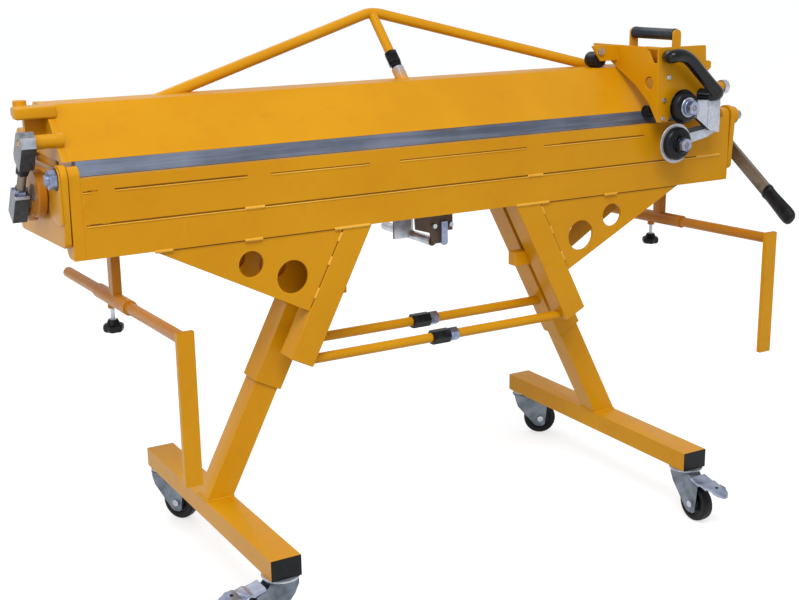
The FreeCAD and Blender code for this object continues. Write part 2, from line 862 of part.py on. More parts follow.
def make_foot_plugs():
    pieces = []
    for side, word in SIDES:
        left_x = side * dim.leg_foot_x - dim.foot_width / 2
        inset = dim.foot_wall + dim.seat_gap / 3
        ends = ((dim.foot_front_y - dim.plug_plate, dim.foot_front_y, "front"),
                (dim.foot_rear_y, dim.foot_rear_y - dim.plug_depth, "rear"))
        for plate_y, spigot_y, place in ends:
            face = box(f"plug_face_{word}_{place}", (dim.foot_width, dim.plug_plate, dim.foot_height),
                       (left_x, plate_y, foot_bottom))
            spigot = box(f"plug_spigot_{word}_{place}",
                         (dim.foot_width - 2 * inset, dim.plug_depth, dim.foot_height - 2 * inset),
                         (left_x + inset, spigot_y, foot_bottom + inset))
            pieces.append(join(f"plug_{word}_{place}", [face, spigot]))
    node(group("plugs", pieces), "foot_plugs")


# Castors: place, heading in degrees from +Y, and whether they have a brake

CASTORS = (
    ("left_front", -1, "front", 90, True),
    ("right_front", 1, "front", 180, True),
    ("left_rear", -1, "rear", -148, False),
    ("right_rear", 1, "rear", -120, False),
)


def castor_spot(side, end):
    x = side * dim.leg_foot_x
    if end == "front":
        return x, dim.foot_front_y + dim.castor_inset
    return x, dim.foot_rear_y - dim.castor_inset


def make_castor_plates():
    pieces = []
    for name, side, end, heading, braked in CASTORS:
        x, y = castor_spot(side, end)
        disc = rod(f"castor_disc_{name}", dim.castor_disc_radius, dim.castor_disc,
                   (x, y, foot_bottom - dim.castor_disc))
        drop = dim.castor_disc + dim.crown_height + 6
        pin = rod(f"king_pin_{name}", dim.king_pin_radius, drop, (x, y, foot_bottom - drop))
        head = rod(f"king_pin_head_{name}", dim.king_pin_radius + 4, 5,
                   (x, y, foot_bottom - drop))
        pieces.append(join(f"castor_mount_{name}", [disc, pin, head]))
    node(group("castor_mounts", pieces), "castor_plates")


def heading_turn(heading):
    return Vector(0, 0, 1), heading


def make_castor_fork(name, side, end, heading):
    """Pressed fork: crown disc, two cheeks and the axle; it trails along +Y."""
    x, y = castor_spot(side, end)
    crown_top = foot_bottom - dim.castor_disc - dim.seat_gap
    crown_low = crown_top - dim.crown_height
    crown = rod(f"crown_{name}", dim.crown_radius, dim.crown_height, (0, 0, crown_low))
    axle_z = dim.wheel_radius
    outline = [
        (-dim.crown_radius + 7, crown_low + 4),
        (dim.pedal_pin_reach + 7, crown_low + 4),
        (dim.pedal_pin_reach + 7, dim.pedal_pin_z - 7),
        (dim.castor_trail + 12, axle_z - 3),
        (dim.castor_trail, axle_z - 13),
        (dim.castor_trail - 12, axle_z - 3),
        (-dim.crown_radius + 7, crown_low - 14),
    ]
    cheeks = []
    for sign in (-1, 1):
        inner = dim.fork_gap / 2
        left = inner if sign > 0 else -inner - dim.fork_sheet
        cheeks.append(plate(f"cheek_{name}_{sign + 1}", "side", outline, dim.fork_sheet,
                            (left, 0, 0), (), [((1, 2, 3, 4, 5), 6)]))
    reach = dim.fork_gap / 2 + dim.fork_sheet + 4
    axle = rod(f"axle_{name}", dim.wheel_bore - dim.running_fit, 2 * reach,
               (-reach, dim.castor_trail, axle_z), "x")
    pieces = [crown, axle] + cheeks
    if end == "front":
        pieces.append(rod(f"pedal_pin_{name}", dim.pedal_pin_radius, 2 * reach - 4,
                          (-reach + 2, dim.pedal_pin_reach, dim.pedal_pin_z), "x"))
    well = rod(f"crown_well_{name}", dim.king_pin_radius + 6, 2 * dim.crown_height,
               (0, 0, crown_low - 2 * dim.crown_height))
    bore = rod(f"crown_bore_{name}", dim.king_pin_radius + dim.running_fit,
               dim.crown_height + 2 * dim.cut_overrun, (0, 0, crown_low - dim.cut_overrun))
    fork = cut(f"fork_{name}", join(f"fork_solid_{name}", pieces), [bore, well])
    put(fork, (x, y, 0), *heading_turn(heading))
    node(fork, f"castor_fork_{name}")


def make_castor_wheel(name, side, end, heading):
    x, y = castor_spot(side, end)
    half = dim.wheel_width / 2
    hub = dim.wheel_hub_width / 2
    outline = [
        (dim.wheel_bore, -hub),
        (dim.wheel_bore + 8, -hub),
        (dim.wheel_bore + 10, -half + 3),
        (dim.wheel_radius - 9, -half + 3),
        (dim.wheel_radius - 7, -half),
        (dim.wheel_radius - 3, -half),
        (dim.wheel_radius, -half + 4),
        (dim.wheel_radius, half - 4),
        (dim.wheel_radius - 3, half),
        (dim.wheel_radius - 7, half),
        (dim.wheel_radius - 9, half - 3),
        (dim.wheel_bore + 10, half - 3),
        (dim.wheel_bore + 8, hub),
        (dim.wheel_bore, hub),
    ]
    wheel = turned(f"wheel_{name}", outline, (0, dim.castor_trail, dim.wheel_radius), "x")
    turned_wheel = group(f"wheel_placed_{name}", [wheel])
    put(turned_wheel, (x, y, 0), *heading_turn(heading))
    node(turned_wheel, f"castor_wheel_{name}")


def make_brake_pedal(name, side, end, heading):
    x, y = castor_spot(side, end)
    lip = dim.pedal_sheet
    outline = [(0, 0), (dim.pedal_length, 0), (dim.pedal_length, -7), (dim.pedal_length - lip, -7),
               (dim.pedal_length - lip, -lip), (0, -lip)]
    blade = plate(f"pedal_blade_{name}", "side", outline, dim.pedal_width,
                  (-dim.pedal_width / 2, dim.pedal_pin_reach, dim.pedal_pin_z + dim.pedal_hub_radius),
                  (), (), (Vector(1, 0, 0), -dim.pedal_angle))
    neck = box(f"pedal_neck_{name}", (dim.fork_gap - 2 * dim.side_gap, 16, 4),
               (-dim.fork_gap / 2 + dim.side_gap, dim.pedal_pin_reach,
                dim.pedal_pin_z + dim.pedal_hub_radius - 4))
    hub_length = dim.fork_gap - 2 * dim.seat_gap
    hub = rod(f"pedal_hub_{name}", dim.pedal_hub_radius, hub_length,
              (-hub_length / 2, dim.pedal_pin_reach, dim.pedal_pin_z), "x")
    bore = rod(f"pedal_bore_{name}", dim.pedal_pin_radius + dim.running_fit,
               hub_length + 2 * dim.cut_overrun,
               (-hub_length / 2 - dim.cut_overrun, dim.pedal_pin_reach, dim.pedal_pin_z), "x")
    room = box(f"pedal_room_{name}", (4 * dim.pedal_width, dim.pedal_pin_reach + 8, dim.pedal_pin_reach),
               (-2 * dim.pedal_width, 0, dim.pedal_pin_z + dim.pedal_hub_radius - 4))
    blade_cut = cut(f"pedal_trimmed_{name}", blade, [room])
    pedal = cut(f"pedal_{name}", join(f"pedal_solid_{name}", [blade_cut, neck, hub]), [bore])
    put(pedal, (x, y, 0), *heading_turn(heading))
    node(pedal, f"brake_pedal_{name}")


def make_castors():
    make_castor_plates()
    for name, side, end, heading, braked in CASTORS:
        make_castor_fork(name, side, end, heading)
        make_castor_wheel(name, side, end, heading)
        if braked:
            make_brake_pedal(name, side, end, heading)


# Tie rods: two halves screwed into a long nut, with a lock nut on one side


def mitre(name, side, x, y, z):
    """Block that trims a tie rod's end to the leaning face of its tube."""
    size = 4 * dim.tie_radius
    shift = size if side < 0 else as_size(0)
    left = side * x + side * sine(dim.splay_angle) * size / 2 - shift * cosine(dim.splay_angle)
    low = z - cosine(dim.splay_angle) * size / 2 + shift * sine(dim.splay_angle)
    return box(name, (size, size, size), (left, y - size / 2, low), Vector(0, 1, 0),
               dim.splay_angle * -side)


def make_tie(name, y, z, inside, nut_name):
    nut_left = dim.tie_nut_x - dim.tie_nut_length / 2
    gap_left = dim.tie_nut_x - dim.tie_gap / 2
    gap_right = dim.tie_nut_x + dim.tie_gap / 2
    end = inside + dim.tie_radius
    left_rod = rod(f"{name}_left_rod", dim.tie_radius, end + gap_left, (-end, y, z), "x")
    right_rod = rod(f"{name}_right_rod", dim.tie_radius, end - gap_right, (gap_right, y, z), "x")
    left = cut(f"{name}_left", left_rod, [mitre(f"{name}_mitre_left", -1, inside, y, z)])
    right = cut(f"{name}_right", right_rod, [mitre(f"{name}_mitre_right", 1, inside, y, z)])
    lock_x = nut_left + dim.tie_nut_length + dim.seat_gap
    lock = hexagon(f"{name}_lock", dim.lock_nut_radius, dim.lock_nut_length, (lock_x, y, z), "x")
    node(group(f"{name}_pair", [left, join(f"{name}_locked", [right, lock])]), f"{name}_rods")
    outer = hexagon(f"{name}_nut_outer", dim.tie_nut_radius, dim.tie_nut_length, (nut_left, y, z), "x")
    bore = rod(f"{name}_nut_bore", dim.tie_radius + dim.running_fit,
               dim.tie_nut_length + 2 * dim.cut_overrun, (nut_left - dim.cut_overrun, y, z), "x")
    node(cut(f"{name}_nut_body", outer, [bore]), nut_name)


def make_ties():
    front_inside = arm_x(front_tie_z) - dim.arm_width / 2 / cosine(dim.splay_angle)
    make_tie("front_tie", apron_front + dim.arm_depth / 2, front_tie_z, front_inside,
             "front_tie_nut")
    rear_inside = leg_x(rear_tie_z) - dim.socket_width / 2 / cosine(dim.splay_angle)
    make_tie("rear_tie", dim.leg_y, rear_tie_z, rear_inside, "rear_tie_nut")


# Sheet supports: sleeve on a post, sliding tube with a hanging bar, clamping knob


def support_turn():
    return Vector(1, 0, 0), -(90 + dim.support_tilt)


def tilted_rod(name, radius, front, rear, side):
    """Rod along the support's axis, from front to rear of the knob's place."""
    thing = doc.addObject("Part::Cylinder", name)
    bind(thing, "Radius", radius)
    bind(thing, "Height", front + rear)
    y = support_places[side] - front * cosine(dim.support_tilt)
    z = support_z + front * sine(dim.support_tilt)
    return put(thing, (side * support_x, y, z), *support_turn())


def make_support_brackets():
    pieces = []
    for side, word in SIDES:
        x = side * support_x
        y = support_places[side]
        outer = tilted_rod(f"sleeve_outer_{word}", dim.sleeve_radius, dim.sleeve_front,
                           dim.sleeve_rear, side)
        bore = tilted_rod(f"sleeve_bore_{word}", dim.support_radius + dim.running_fit,
                          dim.sleeve_front + dim.cut_overrun, dim.sleeve_rear + dim.cut_overrun,
                          side)
        post = box(f"post_{word}", (dim.post_width, dim.post_depth, beam_bottom - support_z),
                   (x - dim.post_width / 2, y - dim.post_offset, support_z))
        boss = rod(f"knob_boss_{word}", dim.knob_stem_radius + 4, dim.sleeve_radius + 6,
                   (x, y, support_z - dim.sleeve_radius - 6))
        hole = rod(f"knob_hole_{word}", dim.knob_stem_radius + dim.running_fit,
                   dim.sleeve_radius + 6 + dim.cut_overrun,
                   (x, y, support_z - dim.sleeve_radius - 6 - dim.cut_overrun))
        pieces.append(cut(f"support_bracket_{word}",
                          join(f"support_solid_{word}", [outer, post, boss]), [bore, hole]))
    node(group("support_mounts", pieces), "support_brackets")


def make_supports():
    for side, word in SIDES:
        x = side * support_x
        tube = tilted_rod(f"support_tube_{word}", dim.support_radius, dim.support_front,
                          dim.support_rear, side)
        front_y = support_places[side] - dim.support_front * cosine(dim.support_tilt)
        front_z = support_z + dim.support_front * sine(dim.support_tilt)
        bar = box(f"support_bar_{word}",
                  (dim.support_bar_width, dim.support_bar_depth, dim.support_bar_length),
                  (x - dim.support_bar_width / 2, front_y - dim.support_bar_depth / 2,
                   front_z + dim.support_bar_top - dim.support_bar_length))
        node(join(f"support_whole_{word}", [tube, bar]), f"support_{word}")


def make_knobs():
    """Lobed knob on a screw that presses on the support tube from below."""
    for side, word in SIDES:
        x = side * support_x
        y = support_places[side]
        low = support_z - dim.knob_drop
        core = turned(f"knob_core_{word}", [
            (0, 0),
            (dim.knob_radius - 5, 0),
            (dim.knob_radius - 2, 5),
            (dim.knob_radius - 4, 13),
            (dim.knob_stem_radius + 5, dim.knob_height),
            (0, dim.knob_height),
        ], (x, y, low))
        lobes = []
        for i in range(6):
            angle = math.radians(60 * i)
            lobe_x = x + (dim.knob_radius - dim.knob_lobe_radius) * math.cos(angle)
            lobe_y = y + (dim.knob_radius - dim.knob_lobe_radius) * math.sin(angle)
            lobes.append(rod(f"knob_lobe_{word}_{i}", dim.knob_lobe_radius, 13,
                             (lobe_x, lobe_y, low + 2)))
        top = support_z - dim.support_radius - dim.seat_gap
        stem = rod(f"knob_stem_{word}", dim.knob_stem_radius, top - low - 5, (x, y, low + 5))
        node(join(f"knob_{word}", [core, stem] + lobes), f"clamp_knob_{word}")


def make_centre_brace():
    """Bracket plates under the box beam, with a rod through them and a hanging flat."""
    top = beam_bottom
    low = top - dim.brace_height
    rod_z = top - dim.brace_rod_drop
    right = dim.brace_left_x + dim.brace_width
    rod_left = dim.brace_rod_x - dim.brace_rod_radius / 2
    rod_right = dim.brace_rod_x + 2 * dim.brace_rod_radius
    front_plate = plate("brace_front", "front", [
        (dim.brace_left_x, top),
        (right, top),
        (right, low + 25),
        (rod_right, low + 25),
        (rod_right, low),
        (rod_left, low),
        (rod_left, low + 23),
        (dim.brace_left_x + 4, low + 34),
    ], dim.brace_plate, (0, beam_front + dim.brace_plate, 0))
    rear_plate = box("brace_rear", (dim.brace_width / 2, dim.brace_plate, dim.brace_height),
                     (dim.brace_left_x, beam_front + dim.beam_depth - dim.brace_plate, low))
    bar = rod("brace_rod", dim.brace_rod_radius, dim.brace_rod_length,
              (dim.brace_rod_x, beam_front + dim.brace_plate / 2, rod_z), "y")
    flat = plate("brace_flat", "front", [
        (-dim.brace_flat_width / 2, 0),
        (dim.brace_flat_width / 2, 0),
        (dim.brace_flat_width / 2, dim.brace_flat_height),
        (-dim.brace_flat_width / 2, dim.brace_flat_height),
    ], dim.brace_plate, (dim.brace_flat_x, beam_front, low - 4), (), [((0, 1), 6)])
    bolts = []
    for i, x in enumerate((dim.brace_rod_x + 2, dim.brace_flat_x + 17)):
        bolts.append(hexagon(f"brace_bolt_{i}", dim.brace_bolt_radius, 6,
                             (x, beam_front - 6, low + 38), "y"))
    node(join("brace", [front_plate, rear_plate, bar, flat] + bolts), "centre_brace")


# Bending beam


def make_apron():
    """Box section with a nose bar on its front edge and open weld seams."""
    length = 2 * apron_half
    left = -apron_half
    box_top = bend_z - dim.nose_bar_height
    bar_depth = dim.nose_bar_depth - dim.seat_gap
    outer = box("apron_outer", (length, dim.apron_depth, box_top - apron_bottom),
                (left, apron_front, apron_bottom))
    inner = box("apron_inner",
                (length + 2 * dim.cut_overrun, dim.apron_depth - dim.apron_face - dim.apron_wall,
                 box_top - apron_bottom - 2 * dim.apron_wall),
                (left - dim.cut_overrun, apron_front + dim.apron_face,
                 apron_bottom + dim.apron_wall))
    bar = box("apron_nose", (length, bar_depth, dim.nose_bar_height), (left, apron_front, box_top))
    seams = []
    upper = bend_z - dim.upper_seam_drop
    lower = bend_z - dim.lower_seam_drop
    spans = ((-0.985, -0.96, upper), (-0.92, -0.58, upper), (0.38, 0.69, upper),
             (-0.985, -0.955, lower), (-0.935, 0.965, lower))
    for i, (start, end, z) in enumerate(spans):
        seams.append(box(f"seam_{i}",
                         ((end - start) * apron_half, dim.seam_depth * 2, dim.seam_width),
                         (start * apron_half, apron_front - dim.seam_depth, z)))
    node(cut("apron_whole", join("apron_solid", [outer, bar]), [inner] + seams), "apron")


def make_apron_ends():
    ear = dim.apron_ear
    outline = [
        (apron_front, apron_bottom),
        (apron_back, apron_bottom),
        (apron_back, bend_z - ear - 12),
        (bend_y + ear, bend_z - ear),
        (bend_y + ear, bend_z + ear),
        (apron_front, bend_z + ear),
    ]
    circles = [(bend_y, bend_z, dim.hinge_pin_radius + dim.running_fit)]
    rounds = [((4, 5), ear - dim.side_gap - 1), ((1,), ear)]
    left = plate("apron_end_left", "side", outline, dim.apron_end_plate,
                 (-apron_end, 0, 0), circles, rounds)
    right = plate("apron_end_right", "side", outline, dim.apron_end_plate,
                  (apron_half, 0, 0), circles, rounds)
    node(group("apron_end_pair", [left, right]), "apron_ends")


def make_arms():
    for side, word in SIDES:
        foot_x = arm_top_x + dim.arm_length * sine(dim.splay_angle)
        foot_z = apron_bottom - dim.arm_length * cosine(dim.splay_angle)
        length = dim.arm_length + dim.arm_width
        outer, inner = square_tube(f"arm_{word}", side, foot_x, foot_z, as_size(0), length,
                                   dim.arm_width, apron_front, dim.arm_depth, dim.arm_wall)
        cap_x = side * foot_x - cosine(dim.splay_angle) * dim.arm_width / 2
        cap_z = foot_z - side * sine(dim.splay_angle) * dim.arm_width / 2
        cap = box(f"arm_cap_{word}", (dim.arm_width, dim.arm_depth, dim.arm_wall),
                  (cap_x, apron_front, cap_z), Vector(0, 1, 0), dim.splay_angle * -side)
        above = box(f"arm_trim_{word}", (4 * dim.arm_width, 2 * dim.arm_depth, 2 * dim.arm_width),
                    (side * arm_top_x - 2 * dim.arm_width, apron_front - dim.arm_depth / 2,
                     apron_bottom))
        tube = join(f"arm_tube_{word}", [cut(f"arm_hollow_{word}", outer, [inner]), cap])
        node(cut(f"arm_whole_{word}", tube, [above]), f"bending_arm_{word}")


def make_front_gussets():
    low_z = apron_bottom - dim.gusset_drop
    half = dim.arm_width / 2 / cosine(dim.splay_angle)
    for side, word in SIDES:
        outline = [
            (side * (arm_top_x + half), apron_bottom),
            (side * gusset_reach, apron_bottom),
            (side * (arm_x(low_z) + half), low_z),
        ]
        circles = [
            (side * gusset_hole_x, apron_bottom - dim.gusset_hole_drop, dim.gusset_hole_radius),
            (side * small_hole_x, apron_bottom - dim.small_hole_drop, dim.small_hole_radius),
        ]
        node(plate(f"gusset_{word}", "front", outline, dim.gusset_plate,
                   (0, apron_front + dim.gusset_setback + dim.gusset_plate, 0), circles),
             f"front_gusset_{word}")


# Clamp beam

slope_top_y = bend_y + dim.slope_back
slope_top_z = bend_z + dim.slope_rise
nose_y = bend_y + dim.nose_setback + (dim.nose_height - dim.seat_gap) * sine(dim.nose_angle) \
    / cosine(dim.nose_angle)
nose_z = bend_z + dim.nose_height
slope_run = slope_top_y - nose_y
slope_lift = slope_top_z - nose_z
slope_hyp = hypotenuse(slope_run, slope_lift)
sheet_level = dim.face_sheet * slope_hyp / slope_lift
sheet_drop = dim.face_sheet * slope_hyp / slope_run
channel_back = bend_y + dim.clamp_back
rail_back = slope_top_y + dim.rail_size


def make_clamp_face():
    outline = [
        (nose_y, nose_z),
        (slope_top_y, slope_top_z),
        (slope_top_y, slope_top_z - sheet_drop),
        (nose_y + sheet_level, nose_z),
    ]
    node(plate("clamp_sheet", "side", outline, 2 * clamp_half,
               (-clamp_half, 0, 0)), "clamp_face")


def make_clamp_channel():
    """Bottom flange, rear wall and top flange, folded from one plate."""
    wall = dim.channel_wall
    inner_y = nose_y + sheet_level
    outline = [
        (inner_y, nose_z),
        (channel_back, nose_z),
        (channel_back, slope_top_z),
        (rail_back, slope_top_z),
        (rail_back, slope_top_z - wall),
        (channel_back - wall, slope_top_z - wall),
        (channel_back - wall, nose_z + wall),
        (inner_y + wall * slope_run / slope_lift, nose_z + wall),
    ]
    node(plate("clamp_channel", "side", outline, 2 * clamp_half,
               (-clamp_half, 0, 0), (), [((1, 2), wall)]), "clamp_channel")


def make_clamp_strip():
    low = bend_z + dim.seat_gap
    outline = [
        (bend_y + dim.nose_setback, low),
        (nose_y, nose_z),
        (nose_y + dim.strip_depth, nose_z),
        (nose_y + dim.strip_depth, low + 8),
        (bend_y + dim.nose_setback + dim.strip_depth, low),
    ]
    node(plate("strip", "side", outline, 2 * bed_half, (-bed_half, 0, 0)), "clamp_strip")


def make_clamp_rail():
    bar = plate("rail_bar", "front", [
        (-rail_left, slope_top_z - dim.rail_size),
        (rail_right, slope_top_z - dim.rail_size),
        (rail_right, slope_top_z),
        (-rail_left, slope_top_z),
    ], dim.rail_size, (0, rail_back, 0), (), [((0, 1, 2, 3), dim.rail_size / 3)])
    low = slope_top_z - dim.rail_size
    stub = rod("rail_stub", dim.stub_radius, dim.rail_size + dim.stub_rise,
               (-stub_x, rail_back + dim.stub_radius - 3, low))
    node(join("rail", [bar, stub]), "clamp_rail")


def make_clamp_ends():
    thickness = dim.clamp_end_plate
    ear = dim.pivot_ear
    outline = [
        (nose_y, nose_z),
        (slope_top_y, slope_top_z),
        (slope_top_y, slope_top_z - dim.rail_size),
        (rail_back, slope_top_z - dim.rail_size),
        (rail_back, slope_top_z),
        (channel_back, slope_top_z),
        (channel_back + 12, slope_top_z - dim.rail_size - 7),
        (pivot_y + ear - 8, pivot_z + ear),
        (pivot_y + ear, pivot_z + ear - 8),
        (pivot_y + ear, pivot_z - ear + 2),
        (pivot_y - ear, pivot_z - ear + 2),
        (channel_back, nose_z),
    ]
    circles = [(pivot_y, pivot_z, dim.pivot_pin_radius + dim.running_fit)]
    bosses = {-1: left_link_x, 1: right_link_x}
    pieces = []
    for side, word in SIDES:
        inner_x = clamp_half
        left = inner_x if side > 0 else -inner_x - thickness
        body = plate(f"clamp_end_{word}", "side", outline, thickness, (left, 0, 0), circles,
                     [((9, 10), ear / 2)])
        ear_disc = rod(f"link_ear_{word}", dim.link_ear_radius, thickness, (left, pin_y, pin_z), "x")
        boss_length = bosses[side] - dim.seat_gap - inner_x
        boss_x = inner_x if side > 0 else -inner_x - boss_length
        boss = rod(f"link_boss_{word}", dim.link_boss_radius, boss_length, (boss_x, pin_y, pin_z), "x")
        bracket_length = stub_x - inner_x
        bracket_x = inner_x if side > 0 else -inner_x - bracket_length
        bracket = box(f"rail_bracket_{word}",
                      (bracket_length, dim.rail_size - 6, dim.bracket_height),
                      (bracket_x, slope_top_y + 6, slope_top_z - dim.rail_size - dim.bracket_height))
        parts = [body, ear_disc, boss, bracket]
        if side < 0:
            pin_x = -left_link_x - dim.left_link_width + 1
            parts.append(rod("upper_link_pin", dim.link_pin_radius, -inner_x - pin_x,
                             (pin_x, pin_y, pin_z), "x"))
        pieces.append(join(f"clamp_end_whole_{word}", parts))
    node(group("clamp_end_pair", pieces), "clamp_ends")


# Truss over the clamp beam

apex = Vector(0, (bend_y + dim.truss_back).value, (bend_z + dim.truss_rise).value)
strut_foot = Vector(0, (bend_y + dim.truss_end_back + 2).value, slope_top_z.value)
strut_dir = (strut_foot - apex).normalize()
strut_tilt = math.degrees(math.atan2(strut_dir.y, -strut_dir.z))


def strut_rod(name, kind, radius, start, length):
    """Round or hexagonal piece on the strut's axis, measured from the apex."""
    thing = doc.addObject("Part::Cylinder" if kind == "round" else "Part::Prism", name)
    if kind == "round":
        bind(thing, "Radius", radius)
    else:
        thing.Polygon = 6
        bind(thing, "Circumradius", radius)
    bind(thing, "Height", length)
    base = apex + strut_dir * as_size(start).value
    thing.Placement = FreeCAD.Placement(base, Rotation(Vector(0, 0, 1), strut_dir))
    return thing


def make_truss():
    end_y = (bend_y + dim.truss_end_back).value
    end_z = (bend_z + dim.truss_end_rise).value
    half = dim.truss_half_span.value
    points = [Vector(-half, end_y, end_z), apex, Vector(half, end_y, end_z)]
    tube = bent_tube("truss_bar", points, [dim.truss_bend.value], dim.truss_radius.value)
    length = (strut_foot - apex).Length
    sleeve = strut_rod("strut_sleeve", "round", dim.strut_radius, as_size(4), dim.strut_sleeve - 4)
    thread = strut_rod("strut_thread", "round", dim.strut_thread_radius, dim.strut_sleeve - 20,
                       length - dim.strut_sleeve + 20)
    ring_at = dim.strut_sleeve + dim.strut_nut_length + 2 * dim.seat_gap
    ring = strut_rod("strut_ring", "hexagonal", dim.strut_nut_radius, ring_at, dim.strut_ring)
    stub_at = ring_at + dim.strut_ring
    stub = strut_rod("strut_stub", "round", dim.strut_stub_radius, stub_at,
                     length - stub_at + dim.strut_stub_radius)
    below = box("truss_trim", (2 * dim.truss_half_span + 8 * dim.truss_bend, 4 * dim.truss_bend,
                               2 * dim.truss_bend),
                (-dim.truss_half_span - 4 * dim.truss_bend,
                 bend_y + dim.truss_end_back - 2 * dim.truss_bend,
                 slope_top_z - 2 * dim.truss_bend))
    node(cut("truss_whole", join("truss_solid", [tube, sleeve, thread, ring, stub]), [below]), "truss")
    outer = strut_rod("truss_nut_outer", "hexagonal", dim.strut_nut_radius + 2,
                      dim.strut_sleeve + dim.seat_gap, dim.strut_nut_length)
    bore = strut_rod("truss_nut_bore", "round", dim.strut_thread_radius + dim.running_fit,
                     dim.strut_sleeve - dim.cut_overrun, dim.strut_nut_length + 2 * dim.cut_overrun)
    node(cut("truss_nut_body", outer, [bore]), "truss_nut")


# Lever and cranks


def crank_web(name, thickness, x):
    """Disc on the cross shaft with an arm out to the crank pin."""
    disc = rod(f"{name}_disc", dim.crank_disc_radius, thickness, (x, shaft_y, shaft_z), "x")
    eye = rod(f"{name}_eye", dim.crank_eye_radius, thickness, (x, crank_y, crank_z), "x")
    arm = plate(f"{name}_arm", "side", [
        (0, -dim.crank_eye_radius),
        (dim.crank_radius, -dim.crank_eye_radius),
        (dim.crank_radius, dim.crank_eye_radius),
        (0, dim.crank_eye_radius),
    ], thickness, (x, shaft_y, shaft_z), (), (), (Vector(1, 0, 0), -dim.crank_angle))
    bore = rod(f"{name}_bore", dim.shaft_radius + dim.running_fit,
               thickness + 2 * dim.cut_overrun, (x - dim.cut_overrun, shaft_y, shaft_z), "x")
    return cut(f"{name}_web", join(f"{name}_solid", [disc, eye, arm]), [bore])


def make_lever():
    """The right crank has two webs, so that its link can swing across the shaft's axis."""
    inner_end = inner_web_x + dim.web_thickness
    lever_far = lever_x + dim.lever_bar_thickness + 2
    shaft = rod("shaft", dim.shaft_radius, crank_left_face + inner_end,
                (-crank_left_face, shaft_y, shaft_z), "x")
    stub = rod("lever_stub", dim.shaft_radius, lever_far - outer_web_x,
               (outer_web_x, shaft_y, shaft_z), "x")
    node(group("shafts", [shaft, stub]), "cross_shaft")
    left = crank_web("crank_left", dim.crank_left_thickness, -crank_left_face)
    inner = crank_web("crank_inner", dim.web_thickness, inner_web_x)
    outer = crank_web("crank_outer", dim.web_thickness, outer_web_x)
    pin = rod("crank_pin", dim.link_pin_radius, outer_web_x + dim.web_thickness - inner_web_x,
              (inner_web_x, crank_y, crank_z), "x")
    node(group("crank_pair", [left, join("crank_right", [inner, outer, pin])]), "cranks")
    half = dim.lever_bar_width / 2
    bar = plate("lever_flat", "side", [
        (-dim.grip_end + 6, -half),
        (0, -half),
        (0, half),
        (-dim.grip_end + 6, half),
    ], dim.lever_bar_thickness, (lever_x, shaft_y, shaft_z), (), [((0, 3), 10)],
        (Vector(1, 0, 0), dim.lever_angle))
    hub = rod("lever_hub", dim.lever_hub_radius, dim.lever_bar_thickness,
              (lever_x, shaft_y, shaft_z), "x")
    hub_bore = rod("lever_hub_bore", dim.shaft_radius + dim.running_fit,
                   dim.lever_bar_thickness + 2 * dim.cut_overrun,
                   (lever_x - dim.cut_overrun, shaft_y, shaft_z), "x")
    node(cut("lever_whole", join("lever_solid", [bar, hub]), [hub_bore]), "lever_bar")
    grip_x = lever_x + dim.lever_bar_thickness / 2 - dim.grip_thickness / 2
    grip = rounded_box("grip_round_block",
                       (dim.grip_thickness, dim.grip_end - dim.grip_start, dim.grip_width),
                       (0, -dim.grip_end, -dim.grip_width / 2), dim.grip_round)
    slot = box("grip_slot", (dim.lever_bar_thickness, dim.grip_end - dim.grip_start - 6 + 10,
                             dim.lever_bar_width),
               (dim.grip_thickness / 2 - dim.lever_bar_thickness / 2, -dim.grip_end + 6, -half))
    hollow = cut("grip_hollow", grip, [slot])
    put(hollow, (grip_x, shaft_y, shaft_z), Vector(1, 0, 0), dim.lever_angle)
    node(hollow, "lever_grip")


# Toggle links, built hanging straight down from the upper pin and then leant back


def make_left_link():
    x = -left_link_x - dim.left_link_width
    centre_x = -left_link_x - dim.left_link_width / 2
    half = dim.upper_block_depth / 2
    low_half = dim.lower_block_depth / 2
    upper_low = dim.link_overhang - dim.upper_block_length
    lower_low = -link_length - dim.lower_overhang
    lower_top = lower_low + dim.lower_block_length
    chamfer = dim.block_chamfer
    corner = dim.eye_chamfer
    upper = plate("upper_block", "side", [
        (-half, dim.link_overhang - corner),
        (-half + corner, dim.link_overhang),
        (half - corner, dim.link_overhang),
        (half, dim.link_overhang - corner),
        (half, upper_low + 2 * chamfer),
        (half - 2 * chamfer, upper_low),
        (-half + chamfer, upper_low),
        (-half, upper_low + chamfer),
    ], dim.left_link_width, (x, 0, 0), [(0, 0, dim.link_pin_radius + dim.running_fit)])
    lower = plate("lower_block", "side", [
        (-low_half, lower_top - chamfer),
        (-low_half + chamfer, lower_top),
        (low_half - chamfer, lower_top),
        (low_half, lower_top - chamfer),
        (low_half, lower_low),
        (-low_half, lower_low),
    ], dim.left_link_width, (x, 0, 0))
    stud_low = lower_top - 10
    stud = rod("link_stud", dim.link_stud_radius, upper_low + 10 - stud_low, (centre_x, 0, stud_low))
    lock = hexagon("link_lock_nut", dim.link_nut_radius, dim.link_nut_length,
                   (centre_x, 0, upper_low - dim.link_nut_length))
    second = hexagon("link_second_nut", dim.link_nut_radius, dim.second_nut_length,
                     (centre_x, 0, lower_top))
    pin_start = -crank_left_face - dim.seat_gap
    pin = rod("lower_pin_left", dim.link_pin_radius, pin_start - x, (x, 0, -link_length), "x")
    link = join("left_link", [upper, lower, stud, lock, second, pin])
    put(link, (0, pin_y, pin_z), Vector(1, 0, 0), link_angle)
    node(link, "link_left")


